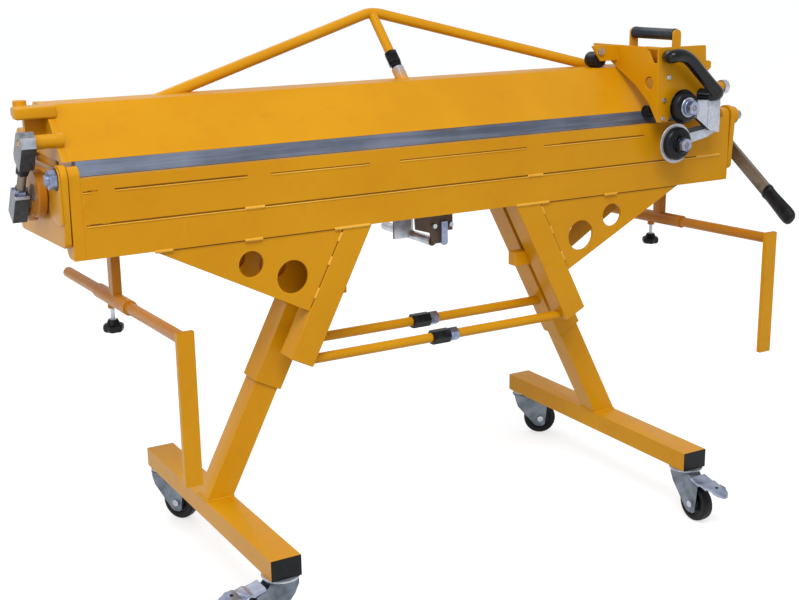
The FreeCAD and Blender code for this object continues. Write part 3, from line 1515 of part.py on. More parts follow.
def make_right_link():
    """Rod with two eyes: the lower one turns on the crank pin, the upper one is pinned."""
    x = right_link_x
    width = dim.right_link_width
    upper = rod("upper_eye", dim.right_eye_radius, width, (x, 0, 0), "x")
    lower = rod("lower_eye", dim.right_eye_radius, width, (x, 0, -link_length), "x")
    bar = rod("link_rod", dim.right_rod_radius, link_length, (x + width / 2, 0, -link_length))
    nut = hexagon("right_lock_nut", dim.right_rod_radius + 3, 8,
                  (x + width / 2, 0, -dim.right_eye_radius - 14))
    head = rod("upper_pin_head", dim.link_pin_radius + 2, 4, (x + width, 0, 0), "x")
    bore = rod("lower_eye_bore", dim.link_pin_radius + dim.running_fit,
               width + 2 * dim.cut_overrun, (x - dim.cut_overrun, 0, -link_length), "x")
    link = cut("right_link", join("right_link_solid", [upper, lower, bar, nut, head]), [bore])
    put(link, (0, pin_y, pin_z), Vector(1, 0, 0), link_angle)
    node(link, "link_right")


# Cutter carriage; X is measured from the outer face of its side plate


def make_side_plate():
    front = carriage_front
    top = carriage_top
    outline = [
        (front, carriage_bottom),
        (front, top),
        (channel_back + 5, top),
        (channel_back - 26, slope_top_z + 12),
        (rail_back - 2, slope_top_z + 14),
        (slope_top_y - 4, slope_top_z + 1),
        (slope_top_y - 0.72 * dim.slope_back, slope_top_z - 0.29 * dim.slope_rise),
        (front + 0.625 * dim.carriage_reach, slope_top_z - 0.59 * dim.slope_rise),
    ]
    hole = (front + dim.side_hole_back, top - dim.side_hole_drop, dim.side_hole_radius)
    body = plate("side_plate_blank", "side", outline, dim.carriage_plate, (carriage_x, 0, 0),
                 [hole], [((2,), 3), ((6,), 40), ((7,), 30)])
    window = plate("side_window", "side", [
        (front + 5, top - 5),
        (front + 37, top - 5),
        (front + 20, top - 33),
        (front + 5, top - 33),
    ], dim.carriage_plate + 2 * dim.cut_overrun, (carriage_x - dim.cut_overrun, 0, 0))
    side = cut("side_plate_cut", body, [window])
    tab = plate("roller_tab", "front", [
        (-dim.tab_width, top),
        (-0.65 * dim.tab_width, top - dim.tab_height),
        (0, top - dim.tab_height),
        (0, top),
    ], dim.carriage_plate, (carriage_x, tab_y + dim.carriage_plate, 0))
    strap_x = carriage_x + dim.handle_x - dim.strap_width / 2
    strap_low = top - 12
    base = box("strap_base",
               (dim.strap_width, handle_rear - handle_front, dim.strap_sheet),
               (strap_x, handle_front, strap_low))
    web = box("strap_web", (strap_x - carriage_x, 30, dim.strap_sheet),
              (carriage_x, handle_rear - 30, strap_low))
    web_front = front + dim.carriage_plate
    front_web = box("strap_front_web", (dim.strap_width, handle_front - web_front, dim.strap_sheet),
                    (strap_x, web_front, strap_low))
    ears = []
    for word, y in (("front", handle_front), ("rear", handle_rear - dim.strap_sheet)):
        ears.append(plate(f"strap_ear_{word}", "front", [
            (0, 0),
            (dim.strap_width, 0),
            (dim.strap_width, handle_z + 11 - strap_low),
            (0, handle_z + 11 - strap_low),
        ], dim.strap_sheet, (strap_x, y + dim.strap_sheet, strap_low), (), [((2, 3), 10)]))
    node(join("side_weldment", [side, tab, base, web, front_web] + ears), "carriage_side_plate")


def make_front_plate():
    x = carriage_x + dim.carriage_plate
    width = dim.carriage_width - dim.carriage_plate
    height = carriage_top - carriage_bottom
    shares = [(0, 0), (0.2, 0), (0.315, 0.14), (0.71, 0.26), (1.05, 0.39), (1.03, 0.7), (1, 1),
              (0, 1)]
    outline = [(across * width, carriage_bottom + up * height) for across, up in shares]
    node(plate("front_plate", "front", outline, dim.carriage_plate,
               (x, carriage_front + dim.carriage_plate, 0), (),
               [((1,), 8), ((4,), 14), ((6,), 4)]), "carriage_front_plate")


def make_guide_block():
    """Grey block whose arm passes under the sheet and carries the lower knife."""
    x = carriage_x
    left = dim.block_inset
    right = left + dim.block_width
    top = upper_knife_z + dim.knife_head_length
    slot = bend_z + dim.block_slot
    foot = bend_z - dim.block_drop
    arm_left = dim.lower_knife_x - dim.block_arm_end
    block = plate("block_front", "front", [
        (left, slot),
        (left + 0.6 * dim.block_width, bend_z - 0.75 * dim.block_drop),
        (right, foot),
        (right, top),
        (left, top),
    ], dim.block_front - dim.block_arm, (x, carriage_front - dim.block_arm, 0), (),
        [((3, 4), 3)])
    arm = plate("block_arm", "front", [
        (arm_left, lower_knife_z - dim.block_arm_end),
        (right - dim.block_width / 3, bend_z - 1.4 * dim.block_drop),
        (right, foot),
        (right, top),
        (left, top),
        (left, slot),
        (right - dim.block_width / 2, bend_z + dim.block_slot / 5),
        (right - dim.block_width / 2, bend_z - 0.3 * dim.block_drop),
        (arm_left, bend_z - 0.83 * dim.block_drop),
    ], dim.block_arm, (x, carriage_front, 0))
    node(join("guide", [block, arm]), "guide_block")


def knife_planes():
    """Faces of the two knives, counted from the carriage's front plate."""
    lower_back = carriage_front - dim.block_arm - dim.seat_gap
    lower_front = lower_back - dim.knife_thickness
    upper_back = lower_front - dim.seat_gap
    upper_front = upper_back - dim.knife_thickness
    return lower_back, lower_front, upper_back, upper_front


def make_knife(name, x, z, back, rim, hub, node_name):
    """Disc with a wide collar and a core in front of it, bored for its spindle."""
    bore = dim.knife_pin_radius + dim.running_fit
    thick = dim.knife_thickness
    collar = thick + dim.knife_collar_length
    length = thick + dim.knife_hub_length
    core = dim.knife_core_radius
    outline = [
        (bore, 0),
        (rim - 4, 0),
        (rim, thick),
        (hub, thick),
        (hub, collar - 4),
        (hub - 4, collar),
        (core, collar),
        (core, length - 3),
        (core - 3, length),
        (bore, length),
    ]
    disc = turned(f"{name}_disc", outline, (0, 0, 0))
    whole = group(f"{name}_turned", [disc])
    put(whole, (carriage_x + x, back, z), Vector(1, 0, 0), as_size(90))
    node(whole, node_name)


def make_knives():
    lower_back, lower_front, upper_back, upper_front = knife_planes()
    make_knife("upper", dim.upper_knife_x, upper_knife_z, upper_back, dim.upper_knife_radius,
               dim.knife_hub_radius, "upper_knife")
    make_knife("lower", dim.lower_knife_x, lower_knife_z, lower_back, dim.lower_knife_radius,
               dim.lower_hub_radius, "lower_knife")


def make_carriage_bolts():
    """Knife spindles, roller spindle, and the screws that hold the plates."""
    lower_back, lower_front, upper_back, upper_front = knife_planes()
    front = carriage_front
    pieces = []
    spindles = (
        ("upper", dim.upper_knife_x, upper_knife_z, front, upper_back),
        ("lower", dim.lower_knife_x, lower_knife_z, front - dim.block_arm, lower_back),
    )
    for word, x, z, seat, back in spindles:
        tip = back - dim.knife_thickness - dim.knife_hub_length
        head_back = tip - dim.seat_gap
        pin = rod(f"spindle_{word}", dim.knife_pin_radius, seat - head_back,
                  (carriage_x + x, head_back, z), "y")
        head = hexagon(f"spindle_head_{word}", dim.knife_head_radius, dim.knife_head_length,
                       (carriage_x + x, head_back - dim.knife_head_length, z), "y")
        pieces.append(join(f"spindle_whole_{word}", [pin, head]))
    spots = ((29, 96), (18, 48), (16, 8))
    for i, (x, up) in enumerate(spots):
        pieces.append(rod(f"plate_screw_{i}", as_size(5.5), 4,
                          (carriage_x + x, front - 4, carriage_bottom + up), "y"))
    pieces.append(rod("side_screw", as_size(7), 5,
                      (carriage_x - 5, channel_back - 35, slope_top_z + 28), "x"))
    roller_x = carriage_x + dim.roller_x
    roller_z = slope_top_z + dim.seat_gap + dim.roller_radius
    pin_start = tab_y + dim.carriage_plate
    pin = rod("roller_pin", dim.roller_pin_radius, dim.roller_length + 6,
              (roller_x, pin_start, roller_z), "y")
    head = rod("roller_pin_head", dim.roller_pin_radius + 3, 4,
               (roller_x, pin_start + dim.roller_length + 2 * dim.seat_gap + 1, roller_z), "y")
    pieces.append(join("roller_spindle", [pin, head]))
    handle_pin = rod("handle_core", as_size(5), handle_rear - handle_front - 2 * dim.strap_sheet,
                     (carriage_x + dim.handle_x, handle_front + dim.strap_sheet,
                      handle_z), "y")
    pieces.append(handle_pin)
    node(group("carriage_hardware", pieces), "carriage_bolts")


def make_roller():
    radius = dim.roller_radius
    length = dim.roller_length
    outline = [
        (dim.roller_pin_radius + dim.running_fit, 0),
        (radius - 3, 0),
        (radius, 3),
        (radius, length - 3),
        (radius - 3, length),
        (dim.roller_pin_radius + dim.running_fit, length),
    ]
    at = (carriage_x + dim.roller_x, tab_y + dim.carriage_plate + dim.seat_gap,
          slope_top_z + dim.seat_gap + radius)
    node(turned("roller", outline, at, "y"), "rail_roller")


def make_top_grip():
    start = handle_front + dim.strap_sheet + dim.seat_gap
    end = handle_rear - dim.strap_sheet - dim.seat_gap
    radius = dim.handle_radius
    outline = [
        (5 + dim.running_fit, 0),
        (radius - 3, 0),
        (radius, 4),
        (radius, end - start - 4),
        (radius - 3, end - start),
        (5 + dim.running_fit, end - start),
    ]
    node(turned("grip_tube", outline, (carriage_x + dim.handle_x, start, handle_z), "y"),
         "carriage_grip")


def make_bow_handle():
    """Bent round bar that stands off the front plate."""
    x = carriage_x.value
    width = dim.carriage_width.value
    height = (carriage_top - carriage_bottom).value
    top = carriage_top.value
    face = carriage_front.value
    inside = face + dim.carriage_plate.value
    out = face - dim.bow_standoff.value
    route = ((0.1, 0.115, inside), (0.045, 0.09, out), (0.37, 0.085, out), (1.12, 0.6, out),
             (0.98, 0.655, inside))
    points = [Vector(x + across * width, y, top - down * height) for across, down, y in route]
    end_bend = dim.bow_end_bend.value
    bends = [end_bend, dim.bow_bend.value, end_bend]
    bow = bent_tube("bow_bar", points, bends, dim.bow_radius.value)
    behind = box("bow_trim", (2 * dim.carriage_width, dim.carriage_width, 2 * dim.carriage_width),
                 (carriage_x - dim.carriage_width / 2, carriage_front,
                  carriage_top - 1.5 * dim.carriage_width))
    node(cut("bow", bow, [behind]), "bow_handle")


def make_skid():
    """Nylon guide behind the side plate that bears on the clamp beam's face."""
    skid = rod("skid", dim.skid_radius, dim.skid_length,
               (carriage_x + dim.carriage_plate, nose_y - dim.skid_radius - 1.5,
                nose_z + 1), "x")
    node(skid, "carriage_skid")


def build():
    make_table_beam()
    make_table_top()
    make_bed_bar()
    make_frame_ends()
    make_hinge_bolts()
    make_leg_sockets()
    make_legs()
    make_foot_plugs()
    make_castors()
    make_ties()
    make_support_brackets()
    make_supports()
    make_knobs()
    make_centre_brace()
    make_apron()
    make_apron_ends()
    make_arms()
    make_front_gussets()
    make_clamp_face()
    make_clamp_channel()
    make_clamp_strip()
    make_clamp_rail()
    make_clamp_ends()
    make_truss()
    make_lever()
    make_left_link()
    make_right_link()
    make_side_plate()
    make_front_plate()
    make_guide_block()
    make_knives()
    make_carriage_bolts()
    make_roller()
    make_top_grip()
    make_bow_handle()
    make_skid()


def check():
    for thing in doc.Objects:
        if "Invalid" in thing.State or "Error" in thing.State:
            raise RuntimeError(f"{thing.Label} failed: {thing.State}")
    for name, thing in nodes:
        if thing.Shape.isNull() or not thing.Shape.isValid():
            raise RuntimeError(f"{name} has no valid shape")


def write():
    os.makedirs("parts", exist_ok=True)
    for name, thing in nodes:
        thing.Shape.exportStep(f"parts/{name}.step")
        size = thing.Shape.BoundBox
        print(f"{name:24s} solids {len(thing.Shape.Solids)}  x {size.XMin:8.1f} {size.XMax:8.1f}"
              f"  y {size.YMin:8.1f} {size.YMax:8.1f}  z {size.ZMin:8.1f} {size.ZMax:8.1f}"
              f"  volume {thing.Shape.Volume / 1000:9.1f} cm3")


build()
doc.recompute()
check()
write()
print(len(nodes), "nodes")
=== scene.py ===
# %% [markdown]
# # A hand folding machine for sheet metal
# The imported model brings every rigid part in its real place. This lesson gives those parts
# the finishes of the real machine, rounds their edges, adds the small shapes that a weld, a
# casting or a moulding has, and sets a camera and soft light.

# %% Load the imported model
import json
import math

import bmesh
import bpy
from mathutils import Matrix, Vector

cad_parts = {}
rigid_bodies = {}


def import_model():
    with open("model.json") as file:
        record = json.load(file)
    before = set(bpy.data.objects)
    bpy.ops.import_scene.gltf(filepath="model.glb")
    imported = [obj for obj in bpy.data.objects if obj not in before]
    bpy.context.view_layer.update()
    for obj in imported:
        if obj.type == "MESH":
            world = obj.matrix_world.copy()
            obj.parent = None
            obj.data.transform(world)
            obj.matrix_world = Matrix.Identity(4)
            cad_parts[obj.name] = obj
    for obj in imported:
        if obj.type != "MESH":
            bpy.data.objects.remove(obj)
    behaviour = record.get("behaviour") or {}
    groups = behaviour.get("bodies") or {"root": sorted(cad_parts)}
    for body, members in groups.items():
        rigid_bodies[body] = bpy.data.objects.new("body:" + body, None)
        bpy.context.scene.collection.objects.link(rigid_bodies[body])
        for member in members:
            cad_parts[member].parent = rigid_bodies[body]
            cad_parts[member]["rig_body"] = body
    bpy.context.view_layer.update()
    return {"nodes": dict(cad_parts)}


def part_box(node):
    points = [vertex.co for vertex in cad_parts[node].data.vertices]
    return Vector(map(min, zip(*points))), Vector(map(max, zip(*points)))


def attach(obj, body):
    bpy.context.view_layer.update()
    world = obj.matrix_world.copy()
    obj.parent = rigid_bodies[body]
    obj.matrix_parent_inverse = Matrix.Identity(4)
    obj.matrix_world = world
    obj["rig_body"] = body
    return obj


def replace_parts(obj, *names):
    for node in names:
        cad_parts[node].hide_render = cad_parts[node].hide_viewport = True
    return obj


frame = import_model()
nodes = frame["nodes"]
body_of = {name: piece["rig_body"] for name, piece in nodes.items()}
MM = 0.001

# %% [markdown]
# ## Shader maths
# A shader is a graph of nodes. Written out call by call it hides its own idea, so one small
# class wraps an output socket and lets plain Python expressions add the Math nodes.

# %% A socket that does arithmetic


class Field:
    """An output socket of a node tree, with the arithmetic operators."""

    def __init__(self, tree, socket):
        self.tree = tree
        self.socket = socket

    def math(self, operation, *values):
        """A Math node that starts from this socket."""
        return self.tree.node("ShaderNodeMath", {"operation": operation},
                              dict(enumerate((self, *values))))

    def __add__(self, other):
        return self.math("ADD", other)

    def __sub__(self, other):
        return self.math("SUBTRACT", other)

    def __mul__(self, other):
        return self.math("MULTIPLY", other)

    def between(self, low, high):
        """0 at low, 1 at high, with a smooth way between."""
        settings = {"interpolation_type": "SMOOTHSTEP"}
        return self.tree.node("ShaderNodeMapRange", settings, {0: self, 1: low, 2: high})


class Finish:
    """A material whose surface is a Principled shader."""

    def __init__(self, name, color, roughness, metallic=0.0, **constants):
        self.material = bpy.data.materials.new(name)
        self.material.use_nodes = True
        self.nodes = self.material.node_tree.nodes
        self.links = self.material.node_tree.links
        self.shader = self.nodes["Principled BSDF"]
        self.set("Base Color", color)
        self.set("Roughness", roughness)
        self.set("Metallic", metallic)
        for socket, value in constants.items():
            self.set(socket.replace("_", " "), value)
        self.place = self.node("ShaderNodeTexCoord", {}, {}, "Object")

    def node(self, kind, settings, inputs, output=0):
        """Adds a node, sets it, feeds its inputs, and gives one of its outputs."""
        made = self.nodes.new(kind)
        for setting, value in settings.items():
            setattr(made, setting, value)
        for key, value in inputs.items():
            self.feed(made.inputs[key], value)
        return Field(self, made.outputs[output])

    def feed(self, socket, value):
        """Links a field to a socket, or sets a constant on it."""
        if isinstance(value, Field):
            self.links.new(value.socket, socket)
        else:
            socket.default_value = value

    def set(self, socket, value):
        self.feed(self.shader.inputs[socket], value)

    def noise(self, scale, detail=3.0, roughness=0.5, place=None):
        """Clouded values between 0 and 1."""
        inputs = {"Vector": place or self.place, "Scale": scale, "Detail": detail,
                  "Roughness": roughness}
        return self.node("ShaderNodeTexNoise", {}, inputs)

    def stretched(self, factors):
        """The place, stretched, so that a pattern runs along one axis."""
        return self.node("ShaderNodeMapping", {}, {"Vector": self.place, "Scale": factors})

    def mixed(self, factor, low, high):
        """A colour between two colours."""
        made = self.nodes.new("ShaderNodeMix")
        made.data_type = "RGBA"
        self.feed(made.inputs[0], factor)
        self.feed(made.inputs[6], low)
        self.feed(made.inputs[7], high)
        return Field(self, made.outputs[2])

    def bump(self, height, distance, strength):
        """Small relief; the distance is in metres."""
        made = self.node("ShaderNodeBump", {}, {"Height": height, "Distance": distance,
                                                "Strength": strength})
        self.set("Normal", made)


def srgb(red, green, blue):
    """A colour picked on a screen, 0 to 255, as the renderer's linear values."""
    def linear(c):
        c = c / 255
        return c / 12.92 if c <= 0.04045 else ((c + 0.055) / 1.055) ** 2.4
    return (linear(red), linear(green), linear(blue), 1.0)


# %% [markdown]
# ## Yellow-orange paint
# Powder coat is baked plastic over steel: smooth and glossy, with a faint orange-peel ripple
# that only shows in its reflections. Its colour is even, so the clouding is very weak. A thin
# coat layer over a slightly rough base gives the soft sheen with a crisp highlight. Four
# mixes come from one function: the plain one, a browner one that paints shade on the small
# parts under the beams, a lighter one that paints highlights on weld beads and lips, and a
# dark one that paints the shadow in open gaps.

# %% Paint


def make_paint(name, low, high):
    """Powder coat between two colours."""
    paint = Finish(name, high, 0.36, Specular_IOR_Level=0.16, Coat_Weight=0.05, Coat_Roughness=0.2)
    cloud = paint.noise(5.0, 3.0)
    rub = paint.noise(26.0, 5.0, 0.65).between(0.52, 0.8)
    tone = cloud.between(0.3, 0.7)
    even = paint.mixed(tone, low, high)
    paint.set("Base Color", paint.mixed(rub * 0.18, even, srgb(178, 104, 12)))
    paint.set("Roughness", cloud * 0.08 + rub * 0.1 + 0.3)
    peel = paint.noise(260.0, 2.0)
    paint.bump(peel + paint.noise(70.0, 2.0) * 0.8, 0.00012, 0.3)
    return paint.material


paint = make_paint("yellow_orange_paint", srgb(206, 141, 6), srgb(213, 149, 11))
# The browner mix is painted shade.
painted_shade_paint = make_paint("painted_shade_orange_paint", srgb(180, 112, 20), srgb(190, 121, 24))
# The lighter mix is a painted highlight.
painted_highlight_paint = make_paint("painted_highlight_paint", srgb(222, 162, 40), srgb(236, 182, 70))
# The dark mix is a painted shadow for gaps.
painted_gap_shadow = make_paint("painted_gap_shadow", srgb(112, 66, 8), srgb(126, 78, 12))

# %% [markdown]
# ## Ground and rolled steel
# The clamping strip and the bed bar are ground bright along their length: long fine
# scratches, a blue-grey cast, and a few duller brownish patches that paint reflections. The
# lever bar and the shaft are rolled stock with a warmer, browner skin.

# %% Ground steel


def make_ground_steel(name, stretch, color_low, color_high):
    """Bare steel with fine scratches along one axis and brownish patches that paint reflections."""
    steel = Finish(name, color_high, 0.42, metallic=0.6)
    streaks = steel.noise(90.0, 4.0, 0.7, steel.stretched(stretch))
    patches = steel.noise(9.0, 4.0)
    # Brownish patches painted in as reflections.
    painted_reflection_patches = steel.noise(17.0, 5.0, 0.6, steel.stretched((0.35, 1.0, 2.0))).between(0.56, 0.72)
    tone = (streaks * 0.6 + patches * 0.4).between(0.3, 0.7)
    bare = steel.mixed(tone, color_low, color_high)
    steel.set("Base Color", steel.mixed(painted_reflection_patches * 0.7, bare, srgb(92, 80, 66)))
    steel.set("Roughness", streaks * 0.2 + patches * 0.15 + 0.28)
    steel.bump(streaks, 0.00015, 0.4)
    return steel.material


ground_steel = make_ground_steel("ground_steel", (0.03, 1.0, 1.0), srgb(84, 92, 108),
                                 srgb(128, 138, 158))
lever_steel = make_ground_steel("lever_steel", (1.0, 0.15, 0.15), srgb(104, 94, 84),
                                srgb(146, 134, 120))
knife_steel = make_ground_steel("knife_steel", (1.0, 1.0, 1.0), srgb(176, 180, 190),
                                srgb(214, 217, 224))

# %% [markdown]
# ## Zinc plating, mill scale and casting skin
# Castors, bolts and nuts are zinc plated: bright, faintly mottled, and duller where dust has
# been. The link blocks are sawn from black bar, so two of their faces keep the dark mill
# scale. The guide block is a pale blue-grey casting with a fine sandy skin.

# %% Plated and cast metal


def make_mottled(name, low, high, grain, rough, metallic):
    """Metal with a fine mottle over a broad one."""
    metal = Finish(name, high, rough, metallic=metallic)
    mottle = metal.noise(grain, 5.0, 0.6)
    broad = metal.noise(grain / 4, 3.0)
    tone = (mottle * 0.5 + broad * 0.5).between(0.32, 0.66)
    metal.set("Base Color", metal.mixed(tone, low, high))
    metal.set("Roughness", mottle * 0.22 + rough - 0.1)
    metal.bump(mottle, 0.0001, 0.3)
    return metal.material


zinc = make_mottled("zinc_plating", srgb(156, 162, 174), srgb(208, 212, 220), 60.0, 0.32, 0.8)
pedal_zinc = make_mottled("pedal_zinc", srgb(124, 134, 160), srgb(186, 194, 212), 40.0, 0.34, 0.7)
blue_zinc = make_mottled("blue_zinc", srgb(100, 110, 140), srgb(162, 172, 200), 70.0, 0.3, 0.8)
fork_zinc = make_mottled("dull_zinc", srgb(84, 92, 100), srgb(132, 142, 154), 45.0, 0.42, 0.65)
sawn_steel = make_mottled("sawn_steel", srgb(104, 108, 114), srgb(146, 150, 156), 130.0, 0.4, 0.6)
mill_scale = make_mottled("mill_scale", srgb(34, 35, 38), srgb(60, 62, 67), 110.0, 0.42, 0.5)
# A dark brown steel that paints the shade on the centre brace's bracket under the beam.
painted_shade_brown_steel = make_mottled("painted_shade_brown_steel", srgb(66, 50, 40), srgb(98, 80, 66), 80.0, 0.5, 0.5)
casting = make_mottled("pale_casting", srgb(184, 190, 204), srgb(208, 213, 224), 150.0, 0.5, 0.2)

# %% [markdown]
# ## Black parts
# Six blacks, which differ in gloss and in the grain of the surface: soft rubber on the
# lever, glossy moulded plastic on the bow handle, satin plastic on knobs and plugs, slate
# plastic on the top grip, the oxide coat of the long nuts, and the dusty rubber of the tyres.

# %% Black finishes


def make_black(name, low, high, rough, grain, depth, metallic=0.0, **constants):
    """A dark surface, greyer where it is worn, with a moulded grain."""
    black = Finish(name, low, rough, metallic, Specular_IOR_Level=0.22, **constants)
    wear = black.noise(grain / 16, 4.0).between(0.42, 0.78)
    black.set("Base Color", black.mixed(wear, low, high))
    black.set("Roughness", wear * 0.2 + rough)
    black.bump(black.noise(grain, 2.0), depth, 0.5)
    return black.material


rubber = make_black("black_rubber", srgb(16, 16, 18), srgb(32, 32, 34), 0.4, 700.0, 0.00015)
gloss = make_black("gloss_black", srgb(8, 8, 12), srgb(18, 19, 25), 0.22, 900.0, 0.00004,
                   Coat_Weight=0.25, Coat_Roughness=0.12)
plastic = make_black("black_plastic", srgb(12, 14, 18), srgb(26, 28, 35), 0.3, 1100.0, 0.0001)
slate = make_black("slate_plastic", srgb(36, 42, 54), srgb(52, 59, 72), 0.28, 900.0, 0.00006)
oxide = make_black("black_oxide", srgb(16, 16, 18), srgb(46, 47, 51), 0.3, 1400.0, 0.00006, 0.3)
tyre = make_black("tyre_rubber", srgb(12, 12, 13), srgb(34, 34, 34), 0.42, 600.0, 0.0002)

# %% [markdown]
# ## Rounding the imported parts
# Rolled tube and flame-cut plate have no razor edges: the small radius is what catches a
# thin line of light. A copy stands for each imported part, which is hidden. A imported
# part's mesh may not be changed, so a copy stands for it. The copy's doubled points are
# merged and its flat triangles joined, and a Bevel modifier then rounds only the edges that
# are really sharp.

# %% Put a finished shape in the scene


def placed(name, shape, finishes, body, sharp=35.0):
    """Makes an object of a bmesh; it rides on one body of the machine."""
    mesh = bpy.data.meshes.new(name)
    shape.to_mesh(mesh)
    shape.free()
    for finish in finishes:
        mesh.materials.append(finish)
    mesh.polygons.foreach_set("use_smooth", [True] * len(mesh.polygons))
    mesh.set_sharp_from_angle(angle=math.radians(sharp))
    piece = bpy.data.objects.new(name, mesh)
    bpy.context.scene.collection.objects.link(piece)
    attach(piece, body)
    return piece


def pulled(shape, faces, by):
    """Extrudes faces by a vector in millimetres, and gives the new faces and points."""
    made = bmesh.ops.extrude_face_region(shape, geom=faces)["geom"]
    points = [item for item in made if isinstance(item, bmesh.types.BMVert)]
    bmesh.ops.translate(shape, vec=Vector(by) * MM, verts=points)
    return [item for item in made if isinstance(item, bmesh.types.BMFace)], points


def cut_across(shape, place, normal):
    """Adds edges where a plane crosses the shape; the place is in metres."""
    bmesh.ops.bisect_plane(shape, geom=shape.verts[:] + shape.edges[:] + shape.faces[:],
                           plane_co=place, plane_no=normal)


def round_edges(piece, width, angle, harden):
    """A Bevel modifier on the edges that bend by more than the angle."""
    bevel = piece.modifiers.new("edges", "BEVEL")
    bevel.width = width * MM
    bevel.segments = 2
    bevel.limit_method = "ANGLE"
    bevel.angle_limit = math.radians(angle)
    bevel.harden_normals = harden
    return bevel


def merged_copy(name):
    """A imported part's mesh with its doubled points merged and its flat triangles joined."""
    shape = bmesh.new()
    shape.from_mesh(nodes[name].data)
    bmesh.ops.remove_doubles(shape, verts=shape.verts, dist=0.00001)
    bmesh.ops.dissolve_limit(shape, angle_limit=math.radians(0.4), verts=shape.verts,
                             edges=shape.edges)
    for face in shape.faces:
        face.material_index = 0
    shape.normal_update()
    return shape


def rounded(name, width, finishes, zones=()):
    """A copy with rounded edges; each zone's test picks faces for the next finish."""
    shape = merged_copy(name)
    for number, test in enumerate(zones, 1):
        for face in shape.faces:
            if test(face.calc_center_median() / MM, face.normal):
                face.material_index = number
    piece = placed(name + "_shape", shape, finishes, body_of[name])
    round_edges(piece, width, 35, True).miter_outer = "MITER_ARC"
    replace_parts(piece, name)
    return piece


# %% Rounded tubes and plates

TUBES = {"bending_arm_left": 3.5, "bending_arm_right": 3.5, "leg_left": 3.5, "leg_right": 3.5,
         "leg_socket_left": 2.2, "leg_socket_right": 2.2, "table_beam": 4.0}
PLATES = {"apron_ends": 1.6, "frame_ends": 1.5, "clamp_face": 1.0,
          "clamp_channel": 2.0, "clamp_ends": 1.4, "clamp_rail": 1.2, "table_top": 0.8,
          "front_gusset_left": 0.9, "front_gusset_right": 0.9,
          "carriage_side_plate": 0.8, "carriage_front_plate": 0.9}
# The cranks and the support brackets take the browner paint as painted shade.
SHADE_PAINTED_PARTS = {"support_brackets": 1.0, "cranks": 2.5}
for name, width in {**TUBES, **PLATES}.items():
    rounded(name, width, [paint])
for name, width in SHADE_PAINTED_PARTS.items():
    rounded(name, width, [painted_shade_paint])
# The supports' faces above 586 mm take the browner paint as painted shade.
for name in ("support_left", "support_right"):
    rounded(name, 1.2, [paint, painted_shade_paint], [lambda middle, normal: middle.z > 586.0])
flat_apron = placed("apron_sheet", merged_copy("apron"), [paint], "bending_beam", 1.0)
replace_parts(flat_apron, "apron")
print("rounded", len(TUBES) + len(PLATES) + len(SHADE_PAINTED_PARTS) + 2, "painted parts")

# %% [markdown]
# ## Parts of several finishes
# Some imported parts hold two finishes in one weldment: a painted rod with a plated lock nut,
# or a link block whose side is machined and whose front still has its mill scale. A zone is
# a small test on a face's middle and normal, in millimetres, and it picks the finish.

# %% Tie rods, truss and links
LOCK_NUT = (17.0, 39.5)
for name in ("front_tie_rods", "rear_tie_rods"):
    rounded(name, 0.7, [paint, blue_zinc],
            [lambda middle, normal: LOCK_NUT[0] < middle.x < LOCK_NUT[1]])

nut_low, nut_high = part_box("truss_nut")
nut_middle = (nut_low + nut_high) / 2 / MM


def strut_zone(low, high):
    """Faces of the strut whose height over the long nut's middle lies in a band."""
    def test(middle, normal):
        beside = abs(middle.x) < 16 and (middle.yz - nut_middle.yz).length < 60
        return beside and low < middle.z - nut_middle.z < high
    return test


rounded("truss", 0.6, [paint, oxide, zinc], [strut_zone(-14, 12), strut_zone(-24, -14)])

UPPER_PIN = Vector((0.0, 6.0, 893.0))
LOWER_PIN = Vector((0.0, 106.02, 756.99))
ALONG = (LOWER_PIN - UPPER_PIN).normalized()


def along_link(low, high, least=0.0, most=2.0):
    """Faces between two distances from the upper pin, and between two shares of facing front."""
    def inside(middle, normal):
        reach = (middle - UPPER_PIN).dot(ALONG)
        facing = abs(normal.y * ALONG.z - normal.z * ALONG.y)
        return low < reach < high and least <= facing < most
    return inside


rounded("link_left", 1.2, [sawn_steel, mill_scale, mill_scale, zinc, zinc, oxide, blue_zinc,
                           lever_steel],
        [along_link(-30.0, 50.4, 0.96), along_link(116.9, 190.0, 0.96),
         along_link(-30.0, 50.4, 0.2, 0.96), along_link(116.9, 190.0, 0.2, 0.96),
         along_link(50.4, 70.2), along_link(108.6, 116.9), along_link(70.2, 108.6)])
rounded("link_right", 0.8, [zinc])

# %% Brace, lever, bolts and the carriage's small parts


ROD_X = 4.0
ROD_JOINT = 95.0
ROD_TOP = 634.0
FLAT_LEFT, FLAT_RIGHT = 21.0, 37.0


def brace_rod(middle, normal):
    """The rod from the flat to the joint."""
    return 15 < middle.y < ROD_JOINT and abs(middle.x - ROD_X) < 11 and middle.z < ROD_TOP


def brace_far_rod(middle, normal):
    """The rod behind the joint."""
    return middle.y >= ROD_JOINT and middle.z < ROD_TOP


def brace_flat(middle, normal):
    """The flat link in front."""
    return middle.y < 14 and FLAT_LEFT < middle.x < FLAT_RIGHT and middle.z < 664


def brace_bolts(middle, normal):
    """The bolt heads on both sides of the flat."""
    beside = not FLAT_LEFT < middle.x < FLAT_RIGHT
    return middle.y < 7.6 and 640 < middle.z < 670 and beside


# The bracket, every face outside the zones, takes the dark brown steel as painted shade.
rounded("centre_brace", 0.8, [painted_shade_brown_steel, zinc, zinc, blue_zinc, zinc],
        [brace_rod, brace_far_rod, brace_flat, brace_bolts])
